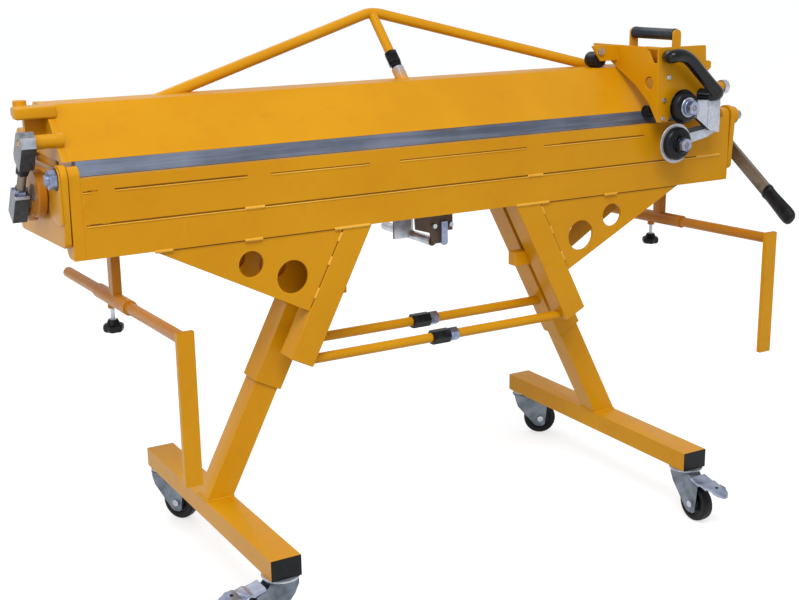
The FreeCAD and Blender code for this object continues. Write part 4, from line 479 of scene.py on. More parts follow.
# The washer behind the left hinge nut takes the black oxide as painted shade.
rounded("hinge_bolts", 0.9, [blue_zinc, oxide],
        [lambda middle, normal: middle.y < 0 and -777.5 < middle.x < -772.5])
rounded("lever_bar", 1.2, [lever_steel])
rounded("cross_shaft", 0.8, [lever_steel])
rounded("bed_edge_bar", 0.6, [ground_steel])
rounded("clamp_strip", 0.6, [ground_steel])
rounded("foot_plugs", 1.6, [plastic])
rounded("carriage_skid", 1.5, [plastic])

# %% [markdown]
# ## Turned parts
# Knives, wheels, rollers and grips are bodies of revolution, so each is a half outline that
# bmesh spins once round its axis. The outline holds the grooves, collars and rounded rims.

# %% Turn an outline


def turned(profile, at, way, steps=64):
    """Turns (radius, height) pairs about the axis `way` through the point `at`."""
    shape = bmesh.new()
    points = [shape.verts.new((radius * MM, 0.0, height * MM)) for radius, height in profile]
    lines = [shape.edges.new(pair) for pair in zip(points, points[1:])]
    bmesh.ops.spin(shape, geom=points + lines, cent=(0, 0, 0), axis=(0, 0, 1),
                   angle=math.tau, steps=steps, use_merge=True)
    bmesh.ops.remove_doubles(shape, verts=shape.verts, dist=0.000005)
    bmesh.ops.recalc_face_normals(shape, faces=shape.faces)
    return stood(shape, at, way)


def stood(shape, at, way):
    """Turns a shape made along +Z to its own direction and moves it to its place."""
    turn = Vector(way).to_track_quat("Z", "Y").to_matrix().to_4x4()
    place = Matrix.Translation(Vector(at) * MM) @ turn
    bmesh.ops.transform(shape, matrix=place, verts=shape.verts)
    return shape


# %% [markdown]
# ## Nuts and screws
# A real nut's corners are turned off at both ends. Cutting a hexagonal prism with planes
# laid round a cone gives that shape, and each cut is closed with a face.

# %% Chamfered nut


def hex_nut(radius, length, at, way, turn=0.0):
    """Hexagon of a corner radius, with turned-off corners at both ends."""
    shape = bmesh.new()
    bmesh.ops.create_circle(shape, cap_ends=True, segments=6, radius=radius * MM)
    pulled(shape, shape.faces[:], (0, 0, length))
    bmesh.ops.rotate(shape, matrix=Matrix.Rotation(math.radians(turn), 3, "Z"),
                     verts=shape.verts)
    rim = radius * 0.9
    for end, sign in ((0.0, -1), (length, 1)):
        for step in range(24):
            angle = math.tau * (step + 0.5) / 24
            out = Vector((math.cos(angle) * 0.5, math.sin(angle) * 0.5, 0.866 * sign))
            spot = Vector((math.cos(angle) * rim, math.sin(angle) * rim, end)) * MM
            whole = shape.verts[:] + shape.edges[:] + shape.faces[:]
            cut = bmesh.ops.bisect_plane(shape, geom=whole, plane_co=spot, plane_no=out,
                                         clear_outer=True)["geom_cut"]
            open_edges = [item for item in cut if isinstance(item, bmesh.types.BMEdge)]
            if open_edges:
                bmesh.ops.contextual_create(shape, geom=open_edges)
    bmesh.ops.recalc_face_normals(shape, faces=shape.faces)
    return stood(shape, at, way)


def nut(name, radius, length, at, way, finish, body, turn=0.0):
    """A chamfered nut as a piece of its own."""
    piece = placed(name, hex_nut(radius, length, at, way, turn), [finish], body, 25.0)
    return piece


def turned_piece(name, profile, at, way, finish, body, steps=64):
    """A turned outline as a piece of its own."""
    piece = placed(name, turned(profile, at, way, steps), [finish], body)
    return piece


# %% Long nuts of the tie rods and the truss
for name, word in (("front_tie_nut", "front"), ("rear_tie_nut", "rear")):
    low, high = (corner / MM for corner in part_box(name))
    middle = (low + high) / 2
    long_nut = nut(f"{word}_long_nut", (high.z - low.z) / 2, high.x - low.x,
                   (low.x, middle.y, middle.z), (1, 0, 0), oxide, body_of[name], 90)
    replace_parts(long_nut, name)
rounded("truss_nut", 0.8, [oxide])

# %% [markdown]
# ## Cutter knives
# Each knife is a thin ground disc with a domed black collar, a bright ring and a steel core
# in front of it. The nut at the end has a small centre hole. The pieces are turned apart,
# because they are separate parts of different metals, and they ride on the same body.

# %% Knife stacks


def knife(word, node_name, disc_finish, ring_finish, core_finish, hub):
    """Disc, collar, ring and core of one knife, from back to front along -Y."""
    low, high = (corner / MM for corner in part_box(node_name))
    rim = (high.x - low.x) / 2
    at = Vector(((low.x + high.x) / 2, high.y, (low.z + high.z) / 2))
    way = (0, -1, 0)
    body = body_of[node_name]
    blade = [(0, 0.2), (rim - 4.2, 0.2), (rim - 3.6, 0.4), (rim, 4.4), (rim - 0.4, 4.9),
             (hub - 2, 4.9), (hub - 4, 4.4), (0, 4.4)]
    disc = turned_piece(f"{word}_disc", blade, at, way, disc_finish, body, 96)
    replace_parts(disc, node_name)
    turned_piece(f"{word}_collar", [(0, 4.5), (hub - 1, 4.5), (hub, 5.5), (hub, 12.5),
                                    (hub - 2, 16.5), (hub - 6, 19.6), (hub - 10, 21), (0, 21)],
                 at, way, plastic, body)
    turned_piece(f"{word}_ring", [(0, 20.8), (20.4, 20.8), (21, 21.4), (21, 22.6), (20.4, 23.2),
                                  (0, 23.2)],
                 at, way, ring_finish, body)
    turned_piece(f"{word}_core", [(0, 23), (17.4, 23), (18, 23.6), (18, 29.6), (17, 30.6),
                                  (0, 30.6)],
                 at, way, core_finish, body)
    return at


upper_at = knife("upper_knife", "upper_knife", oxide, zinc, blue_zinc, 34.0)
lower_at = knife("lower_knife", "lower_knife", knife_steel, oxide, oxide, 36.0)

# %% [markdown]
# The imported bolts of the carriage are one part of eight solids. New ones take their places:
# two nuts with a centre hole, three low screws on the front plate, one on the side plate,
# and the roller's pin.

# %% Carriage bolts


def low_screw(name, radius, height, at, way):
    """Round head with a shallow recess in its middle."""
    profile = [(0, 0), (radius, 0), (radius, height * 0.6), (radius * 0.82, height),
               (radius * 0.48, height), (radius * 0.42, height * 0.45), (0, height * 0.45)]
    return turned_piece(name, profile, at, way, zinc, "cutter", 32)


def holed_nut(name, radius, length, at):
    """Nut on a spindle whose end has a centre hole."""
    nut(name, radius, length, at, (0, -1, 0), blue_zinc, "cutter", 12)
    tip = Vector(at) + Vector((0, -length, 0))
    turned_piece(name + "_tip", [(0, -0.6), (2.2, -0.6), (3.0, 1.0), (5.6, 1.0), (6.4, 0.0),
                                 (6.4, -2.0), (0, -2.0)], tip, (0, -1, 0), lever_steel, "cutter",
                 32)


front_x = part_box("carriage_side_plate")[0].x / MM + 70.0
FRONT_Y = -82.0
PLATE_FOOT = 838.0
screw = low_screw("plate_screw_top", 5.5, 3.6, (front_x + 29, FRONT_Y, PLATE_FOOT + 96), (0, -1, 0))
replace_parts(screw, "carriage_bolts")
low_screw("plate_screw_middle", 5.0, 3.6, (front_x + 18, FRONT_Y, PLATE_FOOT + 48), (0, -1, 0))
low_screw("plate_screw_foot", 5.0, 3.6, (front_x + 16, FRONT_Y, PLATE_FOOT + 8), (0, -1, 0))
holed_nut("upper_knife_nut", 15.0, 9.0, upper_at + Vector((0, -31.2, 0)))
holed_nut("lower_knife_nut", 15.0, 9.0, lower_at + Vector((0, -31.2, 0)))
print("front plate screws from x", round(front_x, 1))

# %% Roller, side screw and handle grip
roller_low, roller_high = (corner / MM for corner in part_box("rail_roller"))
roller_x = (roller_low.x + roller_high.x) / 2
roller_z = (roller_low.z + roller_high.z) / 2
roller = turned_piece("roller_wheel", [(0, 0), (14, 0), (16, 0.8), (17, 3), (17, 14), (16, 15),
                                       (16, 23), (17, 24), (17, 35), (16, 37.2), (14, 38), (9, 38),
                                       (8.4, 36.4), (0, 36.4)],
                      (roller_x, roller_low.y, roller_z), (0, 1, 0), plastic, "roller")
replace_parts(roller, "rail_roller")
turned_piece("roller_bolt", [(0, 0), (5, 0), (5, 0.4), (8, 0.6), (8, 4), (7, 5), (0, 5)],
             (roller_x, roller_high.y + 0.2, roller_z), (0, 1, 0), zinc, "cutter", 32)
nut("tab_bolt", 8.5, 5.0, (470.0, 56.0, 985.0), (0, -1, 0), zinc, "cutter")

grip_low, grip_high = (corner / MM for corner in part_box("carriage_grip"))
span = grip_high.y - grip_low.y
grip = turned_piece("top_grip", [(0, 0), (9, 0), (11.6, 0.6), (13, 2.4), (13, 7), (12.4, 8.5),
                                 (12.4, span - 8.5), (13, span - 7), (13, span - 2.4),
                                 (11.6, span - 0.6), (9, span), (0, span)],
                    ((grip_low.x + grip_high.x) / 2, grip_low.y, (grip_low.z + grip_high.z) / 2),
                    (0, 1, 0), slate, "cutter", 48)
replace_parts(grip, "carriage_grip")

# %% [markdown]
# ## Drawn shapes
# The lever's grip is oval in section and swells towards its end. It starts as one oval face
# that is extruded again and again, and scaled a little at every station.

# %% Draw a section through stations


def drawn(section, stations):
    """Extrudes a flat face along +Z; a station is (height, width scale, depth scale)."""
    shape = bmesh.new()
    bmesh.ops.create_circle(shape, cap_ends=True, segments=section[2], radius=MM)
    bmesh.ops.scale(shape, vec=(section[0], section[1], 1.0), verts=shape.verts)
    face = shape.faces[:]
    wide, deep, height = stations[0][1], stations[0][2], stations[0][0]
    bmesh.ops.scale(shape, vec=(wide, deep, 1.0), verts=shape.verts)
    bmesh.ops.translate(shape, vec=(0, 0, height * MM), verts=shape.verts)
    for new_height, new_wide, new_deep in stations[1:]:
        face, ring = pulled(shape, face, (0, 0, new_height - height))
        bmesh.ops.scale(shape, vec=(new_wide / wide, new_deep / deep, 1.0), verts=ring)
        wide, deep, height = new_wide, new_deep, new_height
    bmesh.ops.recalc_face_normals(shape, faces=shape.faces)
    return shape


# %% Lever grip
SHAFT = Vector((812.0, 58.0, 797.0))
LEVER_ANGLE = math.radians(35)
GRIP = [(222.4, 0.62, 0.72), (223.0, 0.8, 0.86), (226.0, 0.92, 0.93), (232.0, 0.96, 0.94),
        (236.0, 0.86, 0.88), (250.0, 0.9, 0.86), (275.0, 0.97, 0.92), (300.0, 1.0, 0.99),
        (312.0, 0.97, 0.97), (319.0, 0.84, 0.84), (323.0, 0.6, 0.62), (324.7, 0.3, 0.34)]
grip_shape = drawn((12.0, 20.0, 40), GRIP)
bmesh.ops.transform(grip_shape, verts=grip_shape.verts,
                    matrix=Matrix.Translation(SHAFT * MM)
                    @ Matrix.Rotation(math.radians(90) + LEVER_ANGLE, 4, "X"))
lever_grip = placed("lever_handle", grip_shape, [rubber], "lever", 60.0)
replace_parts(lever_grip, "lever_grip")
print("lever grip", len(lever_grip.data.polygons), "faces")

# %% [markdown]
# ## Bow handle
# The bow is one bent bar in a glossy sleeve. A curve is the right tool for a bar that bends
# smoothly: a few control points and a round bevel. The finished line is turned into a mesh.

# %% Sweep a bar along a line


def swept(name, points, radius, finish, body):
    """A round bar along a smooth line through control points."""
    line = bpy.data.curves.new(name + "_line", "CURVE")
    line.dimensions = "3D"
    line.bevel_depth = radius * MM
    line.bevel_resolution = 7
    line.use_fill_caps = True
    spline = line.splines.new("NURBS")
    spline.points.add(len(points) - 1)
    for control, point in zip(spline.points, points):
        control.co = (*(Vector(point) * MM), 1.0)
    spline.order_u = 3
    spline.use_endpoint_u = True
    spline.resolution_u = 10
    guide = bpy.data.objects.new(name + "_guide", line)
    shape = bmesh.new()
    shape.from_mesh(bpy.data.meshes.new_from_object(guide))
    bpy.data.objects.remove(guide)
    piece = placed(name, shape, [finish], body, 50.0)
    return piece


bow = swept("bow_bar", [(552, -76, 977), (538, -86, 979), (524, -112, 979), (548, -114, 984),
                        (574, -114, 974), (606, -114, 944), (646, -114, 908), (664, -114, 894),
                        (652, -98, 891), (640, -76, 892)],
            14.0, gloss, "cutter")
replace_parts(bow, "bow_handle")

# %% [markdown]
# ## Clamping knobs
# A six-lobed moulding with a plated screw. The lobes come from drawing a round section and
# pulling every ring in and out with the cosine of its angle.

# %% Knobs
for word in ("left", "right"):
    low, high = (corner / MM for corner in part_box(f"clamp_knob_{word}"))
    at = Vector(((low.x + high.x) / 2, (low.y + high.y) / 2, low.z))
    shape = drawn((21.0, 21.0, 72), [(0.0, 0.72, 0.72), (1.2, 0.86, 0.86), (4.0, 0.95, 0.95),
                                     (9.0, 0.97, 0.97), (13.0, 0.93, 0.93), (15.0, 0.82, 0.82),
                                     (16.5, 0.6, 0.6), (21.0, 0.5, 0.5), (24.0, 0.44, 0.44)])
    for vert in shape.verts:
        lobe = math.cos(6 * math.atan2(vert.co.y, vert.co.x))
        depth = 0.09 * min(1.0, max(0.0, (16.0 - vert.co.z / MM) / 8.0))
        vert.co.x *= 1 - depth + depth * lobe * 0.9
        vert.co.y *= 1 - depth + depth * lobe * 0.9
    knob = placed(f"knob_{word}", stood(shape, at, (0, 0, 1)), [plastic], f"{word}_knob", 50.0)
    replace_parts(knob, f"clamp_knob_{word}")
    turned_piece(f"knob_screw_{word}", [(0, 23), (7, 23), (7, 25), (4.2, 26), (4, 27),
                                        (4, high.z - low.z), (0, high.z - low.z)],
                 at, (0, 0, 1), zinc, f"{word}_knob", 24)

# %% [markdown]
# ## Castors
# Each castor is made in its own frame, with the king pin on the origin and the wheel
# trailing along +Y, and is then turned to its heading and moved under its foot. The swivel
# race is two pressed dishes, the wheel a dusty tyre on a satin core, and the pedal a pressed
# hood with ribs, a small eye and folded sides.

# %% Castor places
KING_X = 485.5
CASTORS = {
    "left_front": (-KING_X, -253.0, 90.0),
    "right_front": (KING_X, -253.0, 180.0),
    "left_rear": (-KING_X, 348.0, -148.0),
    "right_rear": (KING_X, 348.0, -120.0),
}
TRAIL = 38.0
WHEEL_Z = 40.0


def headed(shape, castor):
    """Turns a shape to its castor's heading and moves it under its foot."""
    x, y, heading = CASTORS[castor]
    place = (Matrix.Translation(Vector((x, y, 0)) * MM)
             @ Matrix.Rotation(math.radians(heading), 4, "Z"))
    bmesh.ops.transform(shape, matrix=place, verts=shape.verts)
    return shape


# %% Castor wheels and forks


def castor_wheel(castor):
    """Tyre with rounded shoulders, and the core with its hub and web."""
    tread = [(27, -8), (28.5, -10.6), (32, -12), (36, -12), (38.6, -10.4), (39.7, -6), (40, 0),
             (39.7, 6), (38.6, 10.4), (36, 12), (32, 12), (28.5, 10.6), (27, 8)]
    core = [(0, -13.6), (8, -13.6), (10, -12.6), (11, -9), (13, -7.4), (24, -7.4), (26, -9.4),
            (29, -9.8), (29, 9.8), (26, 9.4), (24, 7.4), (13, 7.4), (11, 9), (10, 12.6),
            (8, 13.6), (0, 13.6)]
    body = f"wheel_{castor}"
    at = (0, TRAIL, WHEEL_Z)
    outer = placed(f"tread_{castor}", headed(turned(tread + tread[:1], at, (1, 0, 0)), castor),
                   [tyre], body)
    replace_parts(outer, f"castor_wheel_{castor}")
    inner = placed(f"wheel_core_{castor}", headed(turned(core, at, (1, 0, 0)), castor),
                   [plastic], body)


def castor_hardware(castor):
    """Axle nuts on both cheeks of the fork."""
    for sign in (-1, 1):
        shape = hex_nut(8.0, 4.6, (sign * 17.2, TRAIL, WHEEL_Z), (sign, 0, 0))
        piece = placed(f"axle_nut_{castor}_{sign + 1}", headed(shape, castor), [zinc],
                       f"fork_{castor}", 25.0)


def fork(castor):
    """Crown dish with a pressed ring, and two wide cheeks down to the axle."""
    shape = turned([(0, 107.4), (30, 107.4), (31.8, 106.2), (31.8, 103.4), (30.6, 102),
                    (27, 101.4), (0, 101.4)], (0, 0, 0), (0, 0, 1))
    nose = -29.0 if CASTORS[castor][1] < 0 else -26.0
    outline = [(nose, 103), (nose, 93), (-20, 74), (24, 23), (31, 19.5), (44, 19.5), (50, 24),
               (53, 50), (56, 78), (55, 86), (46, 92), (32, 97), (28, 103)]
    for inner, outer in ((-14.5, -17.5), (14.5, 17.5)):
        rim = [shape.verts.new((inner * MM, y * MM, z * MM)) for y, z in outline]
        pulled(shape, [shape.faces.new(rim)], (outer - inner, 0, 0))
    bmesh.ops.recalc_face_normals(shape, faces=shape.faces)
    piece = placed(f"fork_{castor}_press", headed(shape, castor), [fork_zinc], f"fork_{castor}")
    round_edges(piece, 1.4, 40, False)
    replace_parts(piece, f"castor_fork_{castor}")


def race(castor):
    """Two pressed dishes under the foot, with a groove between them."""
    x, y, heading = CASTORS[castor]
    rim = 36.5 if y < 0 else 31.5
    profile = [(0, 113), (rim - 3, 113), (rim - 0.6, 112.2), (rim, 110.4), (rim - 1, 108.6),
               (rim - 4, 108.2), (0, 108.2)]
    return turned_piece(f"race_{castor}", profile, (x, y, 0), (0, 0, 1), zinc, "frame", 72)


for castor in CASTORS:
    castor_wheel(castor)
    castor_hardware(castor)
    fork(castor)
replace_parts(race("left_front"), "castor_plates")
for castor in ("right_front", "left_rear", "right_rear"):
    race(castor)

# %% Brake pedals


def pedal(castor):
    """Hood drawn from a flat outline, with two raised ribs and its sides folded down."""
    shape = bmesh.new()
    outline = [(-20, 38), (20, 38), (21, 60), (20, 84), (19, 104), (14, 117), (5, 126),
               (-5, 126), (-14, 117), (-19, 104), (-20, 84), (-21, 60)]
    rim = [shape.verts.new((x * MM, y * MM, 0.0)) for x, y in outline]
    blade = shape.faces.new(rim)
    inner = bmesh.ops.inset_region(shape, faces=[blade], thickness=0.0025, use_even_offset=True)
    bmesh.ops.translate(shape, vec=(0, 0, 0.0016), verts=blade.verts)
    for y in (50.0, 62.0, 68.0, 71.0, 84.0, 88.0, 104.0, 107.0):
        cut_across(shape, (0, y * MM, 0), (0, 1, 0))
    for vert in shape.verts:
        y = vert.co.y / MM
        inside = vert.co.z > 0.0005
        if inside and (67.0 < y < 72.0 or 87.0 < y < 105.0):
            vert.co.z += 0.0026
        if y > 106.0:
            vert.co.z -= 0.0002 * (y - 106.0)
        if y < 62.0:
            vert.co.z += 0.00022 * (62.0 - y)
    edge = [line for line in shape.edges if line.is_boundary]
    folded = bmesh.ops.extrude_edge_only(shape, edges=edge)
    low = [item for item in folded["geom"] if isinstance(item, bmesh.types.BMVert)]
    bmesh.ops.translate(shape, vec=(0, 0, -0.0052), verts=low)
    bmesh.ops.recalc_face_normals(shape, faces=shape.faces)
    tilt = (Matrix.Translation(Vector((0, 54.0, 93.2)) * MM)
            @ Matrix.Rotation(math.radians(-4.6), 4, "X")
            @ Matrix.Translation(Vector((0, -54.0, 0)) * MM))
    bmesh.ops.transform(shape, matrix=tilt, verts=shape.verts)
    piece = placed(f"pedal_{castor}", headed(shape, castor), [pedal_zinc], f"pedal_{castor}", 50.0)
    wall = piece.modifiers.new("wall", "SOLIDIFY")
    wall.thickness = 0.0022
    wall.offset = -1.0
    round_edges(piece, 0.7, 40, False)
    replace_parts(piece, f"brake_pedal_{castor}")
    eye = turned([(0, 0), (3.0, 0), (3.6, 0.5), (3.6, 0.9), (2.8, 0.9), (2.4, 0.4), (0, 0.4)],
                 (0, 97, 94.2), (0, -0.08, 1), 24)
    placed(f"pedal_eye_{castor}", headed(eye, castor), [oxide], f"pedal_{castor}")
    hub = turned([(3.1, -14), (5.5, -14), (5.5, 14), (3.1, 14), (3.1, -14)], (0, 54, 89),
                 (1, 0, 0), 32)
    rim = placed(f"pedal_hub_{castor}", headed(hub, castor), [zinc], f"pedal_{castor}")


for castor in ("left_front", "right_front"):
    pedal(castor)

# %% [markdown]
# ## Guide block
# The grey block beside the knives is a casting with a machined parting line. The line is a
# narrow strip of the front face, cut free with two bisecting planes and pushed in. Its slanted
# side, which faces down, and the arm behind the knives above a sloping line take the dark mill
# scale finish as painted shade.

# %% Guide block
PARTING_INSET = 98.0
PARTING_WIDTH = 1.4
PARTING_DEPTH = 2.0
SHADE_START = Vector((547.0, 0.0, 803.0))
SHADE_RISE = 0.1266
SHADE_END = 652.0
ARM_FRONT = -90.5


def guide_block():
    """The casting, with its parting line, and painted shade on its slanted underside and its arm.
    """
    shape = merged_copy("guide_block")
    low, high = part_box("guide_block")
    line = low.x + PARTING_INSET * MM
    line_end = line + PARTING_WIDTH * MM
    for x in (line, line_end):
        cut_across(shape, (x, 0, 0), (1, 0, 0))
    strip = [face for face in shape.faces
             if face.normal.y < -0.9 and line < face.calc_center_median().x < line_end
             and face.calc_center_median().y < low.y + MM]
    pushed = bmesh.ops.extrude_face_region(shape, geom=strip)
    bmesh.ops.delete(shape, geom=strip, context="FACES_ONLY")
    floor = [item for item in pushed["geom"] if isinstance(item, bmesh.types.BMVert)]
    bmesh.ops.translate(shape, vec=(0, PARTING_DEPTH * MM, 0), verts=floor)
    cut_across(shape, SHADE_START * MM, (-0.1256, 0, 0.992))
    shape.normal_update()
    for face in shape.faces:
        middle = face.calc_center_median() / MM
        above = middle.z - SHADE_START.z - SHADE_RISE * (middle.x - SHADE_START.x)
        shaded_underside = face.normal.x < -0.3 and face.normal.z < -0.3
        arm_in_shade = middle.y > ARM_FRONT and middle.x < SHADE_END and above > 0
        face.material_index = int(shaded_underside or arm_in_shade)
    piece = placed("guide_casting", shape, [casting, mill_scale], "cutter")
    round_edges(piece, 0.6, 35, True)
    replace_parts(piece, "guide_block")
    print("guide block strip faces", len(strip))


guide_block()

# %% [markdown]
# ## Weld beads
# A hand-laid bead is a row of small pools, so its section swells and shrinks along the run.
# An outline that rises and falls at every pool is turned about the joint's own line, and the
# bead lies half in the corner of the two plates.

# %% Weld beads


def bead(name, start, end, radius, body, finish=paint):
    """A row of pools from one point to another."""
    way = Vector(end) - Vector(start)
    pools = max(2, round(way.length / (radius * 0.9)))
    step = way.length / pools
    outline = [(0.0, 0.0), (0.35 * radius, 0.0)]
    for number in range(pools):
        swell = radius * (1.0 + 0.08 * math.sin(number * 2.4))
        outline.append((0.86 * swell, (number + 0.2) * step))
        outline.append((swell, (number + 0.75) * step))
    outline += [(0.4 * radius, way.length), (0.0, way.length)]
    shape = turned(outline, start, way.normalized(), 12)
    placed(name, shape, [finish], body, 180.0)


SPLAY = math.radians(27)
APRON_FOOT = 689.0
GUSSET_CORNER = 232.0
# The beads on the apron's front and on the arms take the lighter paint as painted highlight.
FRONT_BEADS = [(-614, -580, 688.4), (-440, -404, 688.4), (-253, -176, 688.8), (172, 255, 688.8),
               (404, 438, 688.4), (-437, -397, 748.2), (200, 238, 748.2), (662, 732, 748.2)]
for number, (start, end, z) in enumerate(FRONT_BEADS):
    bead(f"front_bead_{number}", (start, -51.8, z), (end, -51.8, z), 3.4, "bending_beam",
         painted_highlight_paint)
for side, word in ((-1, "left"), (1, "right")):
    for drop, run in ((9.0, 17.0), (54.0, 16.0), (112.0, 20.0)):
        points = [(side * (GUSSET_CORNER + 0.6 + math.tan(SPLAY) * height), -50.4,
                   APRON_FOOT - height) for height in (drop, drop + run)]
        bead(f"arm_bead_{word}_{drop:.0f}", points[0], points[1], 2.8, "bending_beam", painted_highlight_paint)
    # A thin dark bar paints the shadow in the gap along the arm's edge.
    line = [(side * (GUSSET_CORNER + math.tan(SPLAY) * height), -49.2, APRON_FOOT - height)
            for height in (3.0, 70.0, 148.0)]
    swept(f"arm_gap_{word}", line, 1.3, painted_gap_shadow, "bending_beam")

# %% Weld fillets at the legs' feet
FOOT_TOP = 153.0
for side, word in ((-1, "left"), (1, "right")):
    inner = side * (KING_X - 29.0)
    outer = side * (KING_X + 28.0)
    for y, way in ((28.0, "front"), (78.0, "rear")):
        bead(f"foot_bead_{word}_{way}", (inner, y, FOOT_TOP + 0.4), (outer, y, FOOT_TOP + 0.4),
             3.0, "frame")
    for x, way in ((inner, "inner"), (outer, "outer")):
        bead(f"foot_side_{word}_{way}", (x, 29.0, FOOT_TOP + 0.4), (x, 77.0, FOOT_TOP + 0.4),
             3.0, "frame")

# %% [markdown]
# ## Small plates
# A flat bar closes the left end of the rail and laps over the corner of the sloped face, a
# strip stiffens each end plate under it, and a rib in the browner paint, as painted shade,
# stands behind the carriage's window. Each is a rectangle drawn up along Z with rolled edges.
# The pad round the left bend hinge is an outline drawn sideways, and its edges are rolled the
# same way.

# %% Flat bars


def flat_bar(name, low, high, body, edge, finish=paint):
    """A bar between two corners, with rounded edges."""
    shape = bmesh.new()
    corners = [(low[0], low[1]), (high[0], low[1]), (high[0], high[1]), (low[0], high[1])]
    base = shape.faces.new([shape.verts.new((x * MM, y * MM, low[2] * MM)) for x, y in corners])
    pulled(shape, [base], (0, 0, high[2] - low[2]))
    bmesh.ops.bevel(shape, geom=shape.edges[:], offset=edge * MM, segments=3, profile=0.5,
                    affect="EDGES", material=-1)
    bmesh.ops.recalc_face_normals(shape, faces=shape.faces)
    placed(name, shape, [finish], body)


flat_bar("rail_lap", (-817.0, 40.0, 928.0), (-744.0, 66.0, 949.4), "clamp_beam", 4.0)
for side, word in ((-1, "left"), (1, "right")):
    near, far = sorted((side * 748.2, side * 753.6))
    flat_bar(f"end_strip_{word}", (near, 40.0, 838.0), (far, 176.0, 862.0), "clamp_beam", 1.2)
# The rib takes the browner paint as painted shade.
flat_bar("window_rib", (538.0, -75.9, 930.0), (542.0, -14.0, 997.0), "cutter", 0.8, painted_shade_paint)


def hinge_pad():
    """Raised pad of the left end plate, round the bend hinge."""
    shape = bmesh.new()
    outline = [(-55.6, 756), (-55.6, 834), (-50, 847), (-40, 852), (-28, 852), (-14, 844), (4, 828),
               (22, 806), (28, 786), (22, 768), (8, 756), (-12, 750), (-40, 751)]
    rim = [shape.verts.new((-PAD_FACE * MM, y * MM, z * MM)) for y, z in outline]
    pulled(shape, [shape.faces.new(rim)], (PAD_DEPTH, 0, 0))
    bmesh.ops.recalc_face_normals(shape, faces=shape.faces)
    bmesh.ops.bevel(shape, geom=shape.edges[:], offset=1.2 * MM, segments=3, profile=0.5,
                    affect="EDGES", material=-1)
    placed("hinge_pad_left", shape, [paint], "frame")


PAD_FACE = 776.4
PAD_DEPTH = 3.4
hinge_pad()

# %% [markdown]
# ## Open seams of the apron
# The apron is folded from two sheets. Along each open joint the upper sheet ends in a gap
# whose shadow is painted as a dark strip, and the lower one's edge is proud by a millimetre and
# takes the lighter paint as a painted highlight.

# %% Seams
APRON_FACE = -52.0
SEAM_HEIGHT = 1.9
LIP_HEIGHT = 2.5
SEAMS = [(-678, -431, 807.5), (-383, -174, 807.5), (-107, 196, 807.5), (240, 506, 807.5),
         (-736, -722, 807.5), (-734, 733, 748.0)]
for number, (start, end, z) in enumerate(SEAMS):
    flat_bar(f"seam_shadow_{number}", (start, APRON_FACE - 0.35, z),
             (end, APRON_FACE + 1.0, z + SEAM_HEIGHT), "bending_beam", 0.3, painted_gap_shadow)
    flat_bar(f"seam_lip_{number}", (start, APRON_FACE - 1.3, z - 0.1 - LIP_HEIGHT),
             (end, APRON_FACE + 1.0, z - 0.1), "bending_beam", 0.8, painted_highlight_paint)
# A dark strip under the apron's foot paints the shadow in the gap above each front gusset.
for side, word in ((-1, "left"), (1, "right")):
    near, far = sorted((side * GUSSET_CORNER, side * 611.0))
    flat_bar(f"gusset_shadow_{word}", (near, -49.7, 686.7), (far, -48.0, 688.8), "bending_beam", 0.3,
             painted_gap_shadow)

# %% Cover discs in the browner paint behind three holes of the rear gussets, as painted shade inside the holes
for side, word, spots in ((-1, "left", ((351.5, 618.5, 32.0), (433.8, 642.0, 27.5))),
                          (1, "right", ((433.8, 642.0, 27.5),))):
    for number, (x, z, radius) in enumerate(spots):
        turned_piece(f"hole_cover_{word}_{number}",
                     [(0, 0.3), (radius, 0.3), (radius, 2.0), (radius - 1, 2.8), (0, 2.8)],
                     (side * x, 29.0, z), (0, 1, 0), painted_shade_paint, "frame", 48)

# %% Weld beads on the clamp beam and the supports
for side, word in ((-1, "left"), (1, "right")):
    bead(f"rail_bead_{word}", (side * 776.0, 64.2, 929.2), (side * 798.0, 64.2, 929.2), 2.6,
         "clamp_beam")
# The beads at the posts take the browner paint as painted shade.
for side, word, y in ((-1, "left", 56.0), (1, "right", 96.0)):
    post = y - 40.0
    bead(f"post_bead_{word}", (side * 667.0 - 8.0, post - 0.2, 705.2),
         (side * 667.0 + 8.0, post - 0.2, 705.2), 2.2, "frame", painted_shade_paint)

# %% [markdown]
# ## Floor, light and camera
# The photograph is a cut-out on white, so the floor and the surroundings are white and only
# the soft shadow shows. The camera stands where the photographer stood, left of the middle
# and a little above the machine.

# %% Floor


def make_floor():
    """A pale floor that the camera sees as white, but for the shadow on it."""
    shape = bmesh.new()
    bmesh.ops.create_grid(shape, x_segments=1, y_segments=1, size=30.0)
    mesh = bpy.data.meshes.new("floor")
    shape.to_mesh(mesh)
    shape.free()
    floor = bpy.data.objects.new("floor", mesh)
    bpy.context.scene.collection.objects.link(floor)
    finish = Finish("pale_floor", (0.5, 0.5, 0.5, 1.0), 0.9)
    speckle = finish.noise(3.0, 3.0)
    finish.set("Base Color", finish.mixed(speckle, (0.49, 0.49, 0.49, 1.0),
                                          (0.51, 0.51, 0.51, 1.0)))
    seen = 0.0
    for ray in ("Is Camera Ray", "Is Glossy Ray", "Is Transmission Ray"):
        seen = finish.node("ShaderNodeLightPath", {}, {}, ray) + seen
    finish.set("Emission Color", finish.mixed(seen, (0.0, 0.0, 0.0, 1.0),
                                              (0.64, 0.64, 0.64, 1.0)))
    finish.set("Emission Strength", 1.0)
    mesh.materials.append(finish.material)


make_floor()

# %% Light


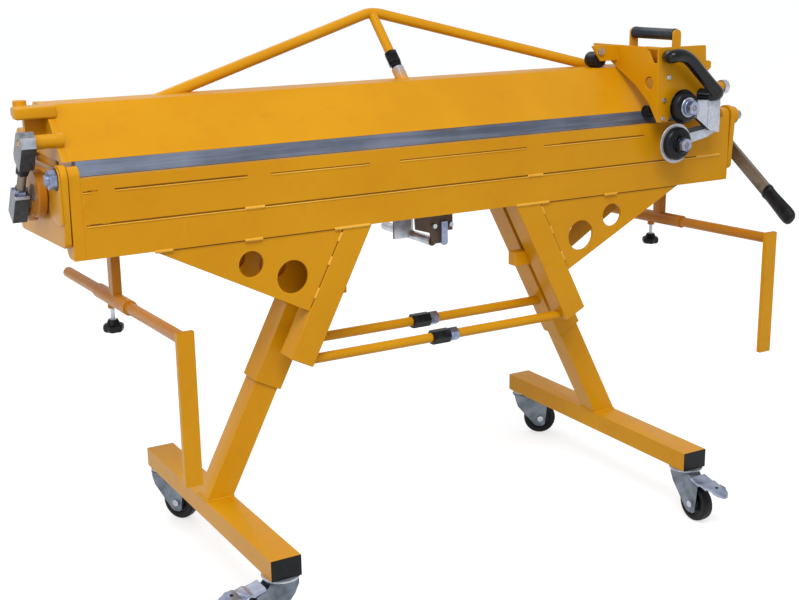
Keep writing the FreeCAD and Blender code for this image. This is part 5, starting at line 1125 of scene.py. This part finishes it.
def make_world(ambient):
    """Soft light from all round, and plain white where the camera sees past the floor."""
    world = bpy.data.worlds.new("studio")
    world.use_nodes = True
    bpy.context.scene.world = world
    graph = world.node_tree
    graph.nodes.clear()
    output = graph.nodes.new("ShaderNodeOutputWorld")
    seen = graph.nodes.new("ShaderNodeBackground")
    seen.inputs["Color"].default_value = (1.0, 1.0, 1.0, 1.0)
    seen.inputs["Strength"].default_value = 1.0
    glow = graph.nodes.new("ShaderNodeBackground")
    glow.inputs["Color"].default_value = (0.96, 0.98, 1.0, 1.0)
    glow.inputs["Strength"].default_value = ambient
    path = graph.nodes.new("ShaderNodeLightPath")
    mix = graph.nodes.new("ShaderNodeMixShader")
    graph.links.new(path.outputs["Is Camera Ray"], mix.inputs[0])
    graph.links.new(glow.outputs[0], mix.inputs[1])
    graph.links.new(seen.outputs[0], mix.inputs[2])
    graph.links.new(mix.outputs[0], output.inputs["Surface"])


def make_lamp(name, place, aim, size, power):
    """An area lamp at a place, turned to its aim."""
    data = bpy.data.lights.new(name, "AREA")
    data.shape = "RECTANGLE"
    data.size, data.size_y = size
    data.energy = power
    lamp = bpy.data.objects.new(name, data)
    bpy.context.scene.collection.objects.link(lamp)
    way = Vector(aim) - Vector(place)
    turn = way.to_track_quat("-Z", "Y").to_matrix().to_4x4()
    lamp.matrix_world = Matrix.Translation(place) @ turn


make_world(0.68)
make_lamp("key", (-1.5, -2.6, 4.6), (0.0, 0.0, 0.7), (2.4, 2.0), 130.0)
make_lamp("fill", (-3.4, -1.6, 2.4), (0.0, 0.0, 0.7), (1.6, 2.0), 20.0)
make_lamp("back", (0.0, 3.0, 3.6), (0.0, 0.0, 0.8), (3.0, 1.5), 25.0)

# %% Camera

SENSOR = 36.0
IMAGE_WIDTH = 799.0
FOCAL_PIXELS = 1282.14
CAMERA_PLACE = (-1.34994, -2.20902, 1.18480)
YAW, PITCH, ROLL = -0.52081, -0.25853, 0.01496


def make_camera():
    """The camera that took the photograph, as its lines of sight give it."""
    data = bpy.data.cameras.new("camera")
    data.sensor_width = SENSOR
    data.lens = FOCAL_PIXELS * SENSOR / IMAGE_WIDTH
    camera = bpy.data.objects.new("camera", data)
    bpy.context.scene.collection.objects.link(camera)
    aim = Matrix.Rotation(YAW, 3, "Z") @ Matrix.Rotation(PITCH, 3, "X")
    level = Matrix.Rotation(ROLL, 3, "Y") @ Matrix.Rotation(math.radians(90), 3, "X")
    stand = aim @ level
    camera.matrix_world = Matrix.Translation(CAMERA_PLACE) @ stand.to_4x4()
    bpy.context.scene.camera = camera


make_camera()
bpy.context.scene.view_settings.view_transform = "Standard"
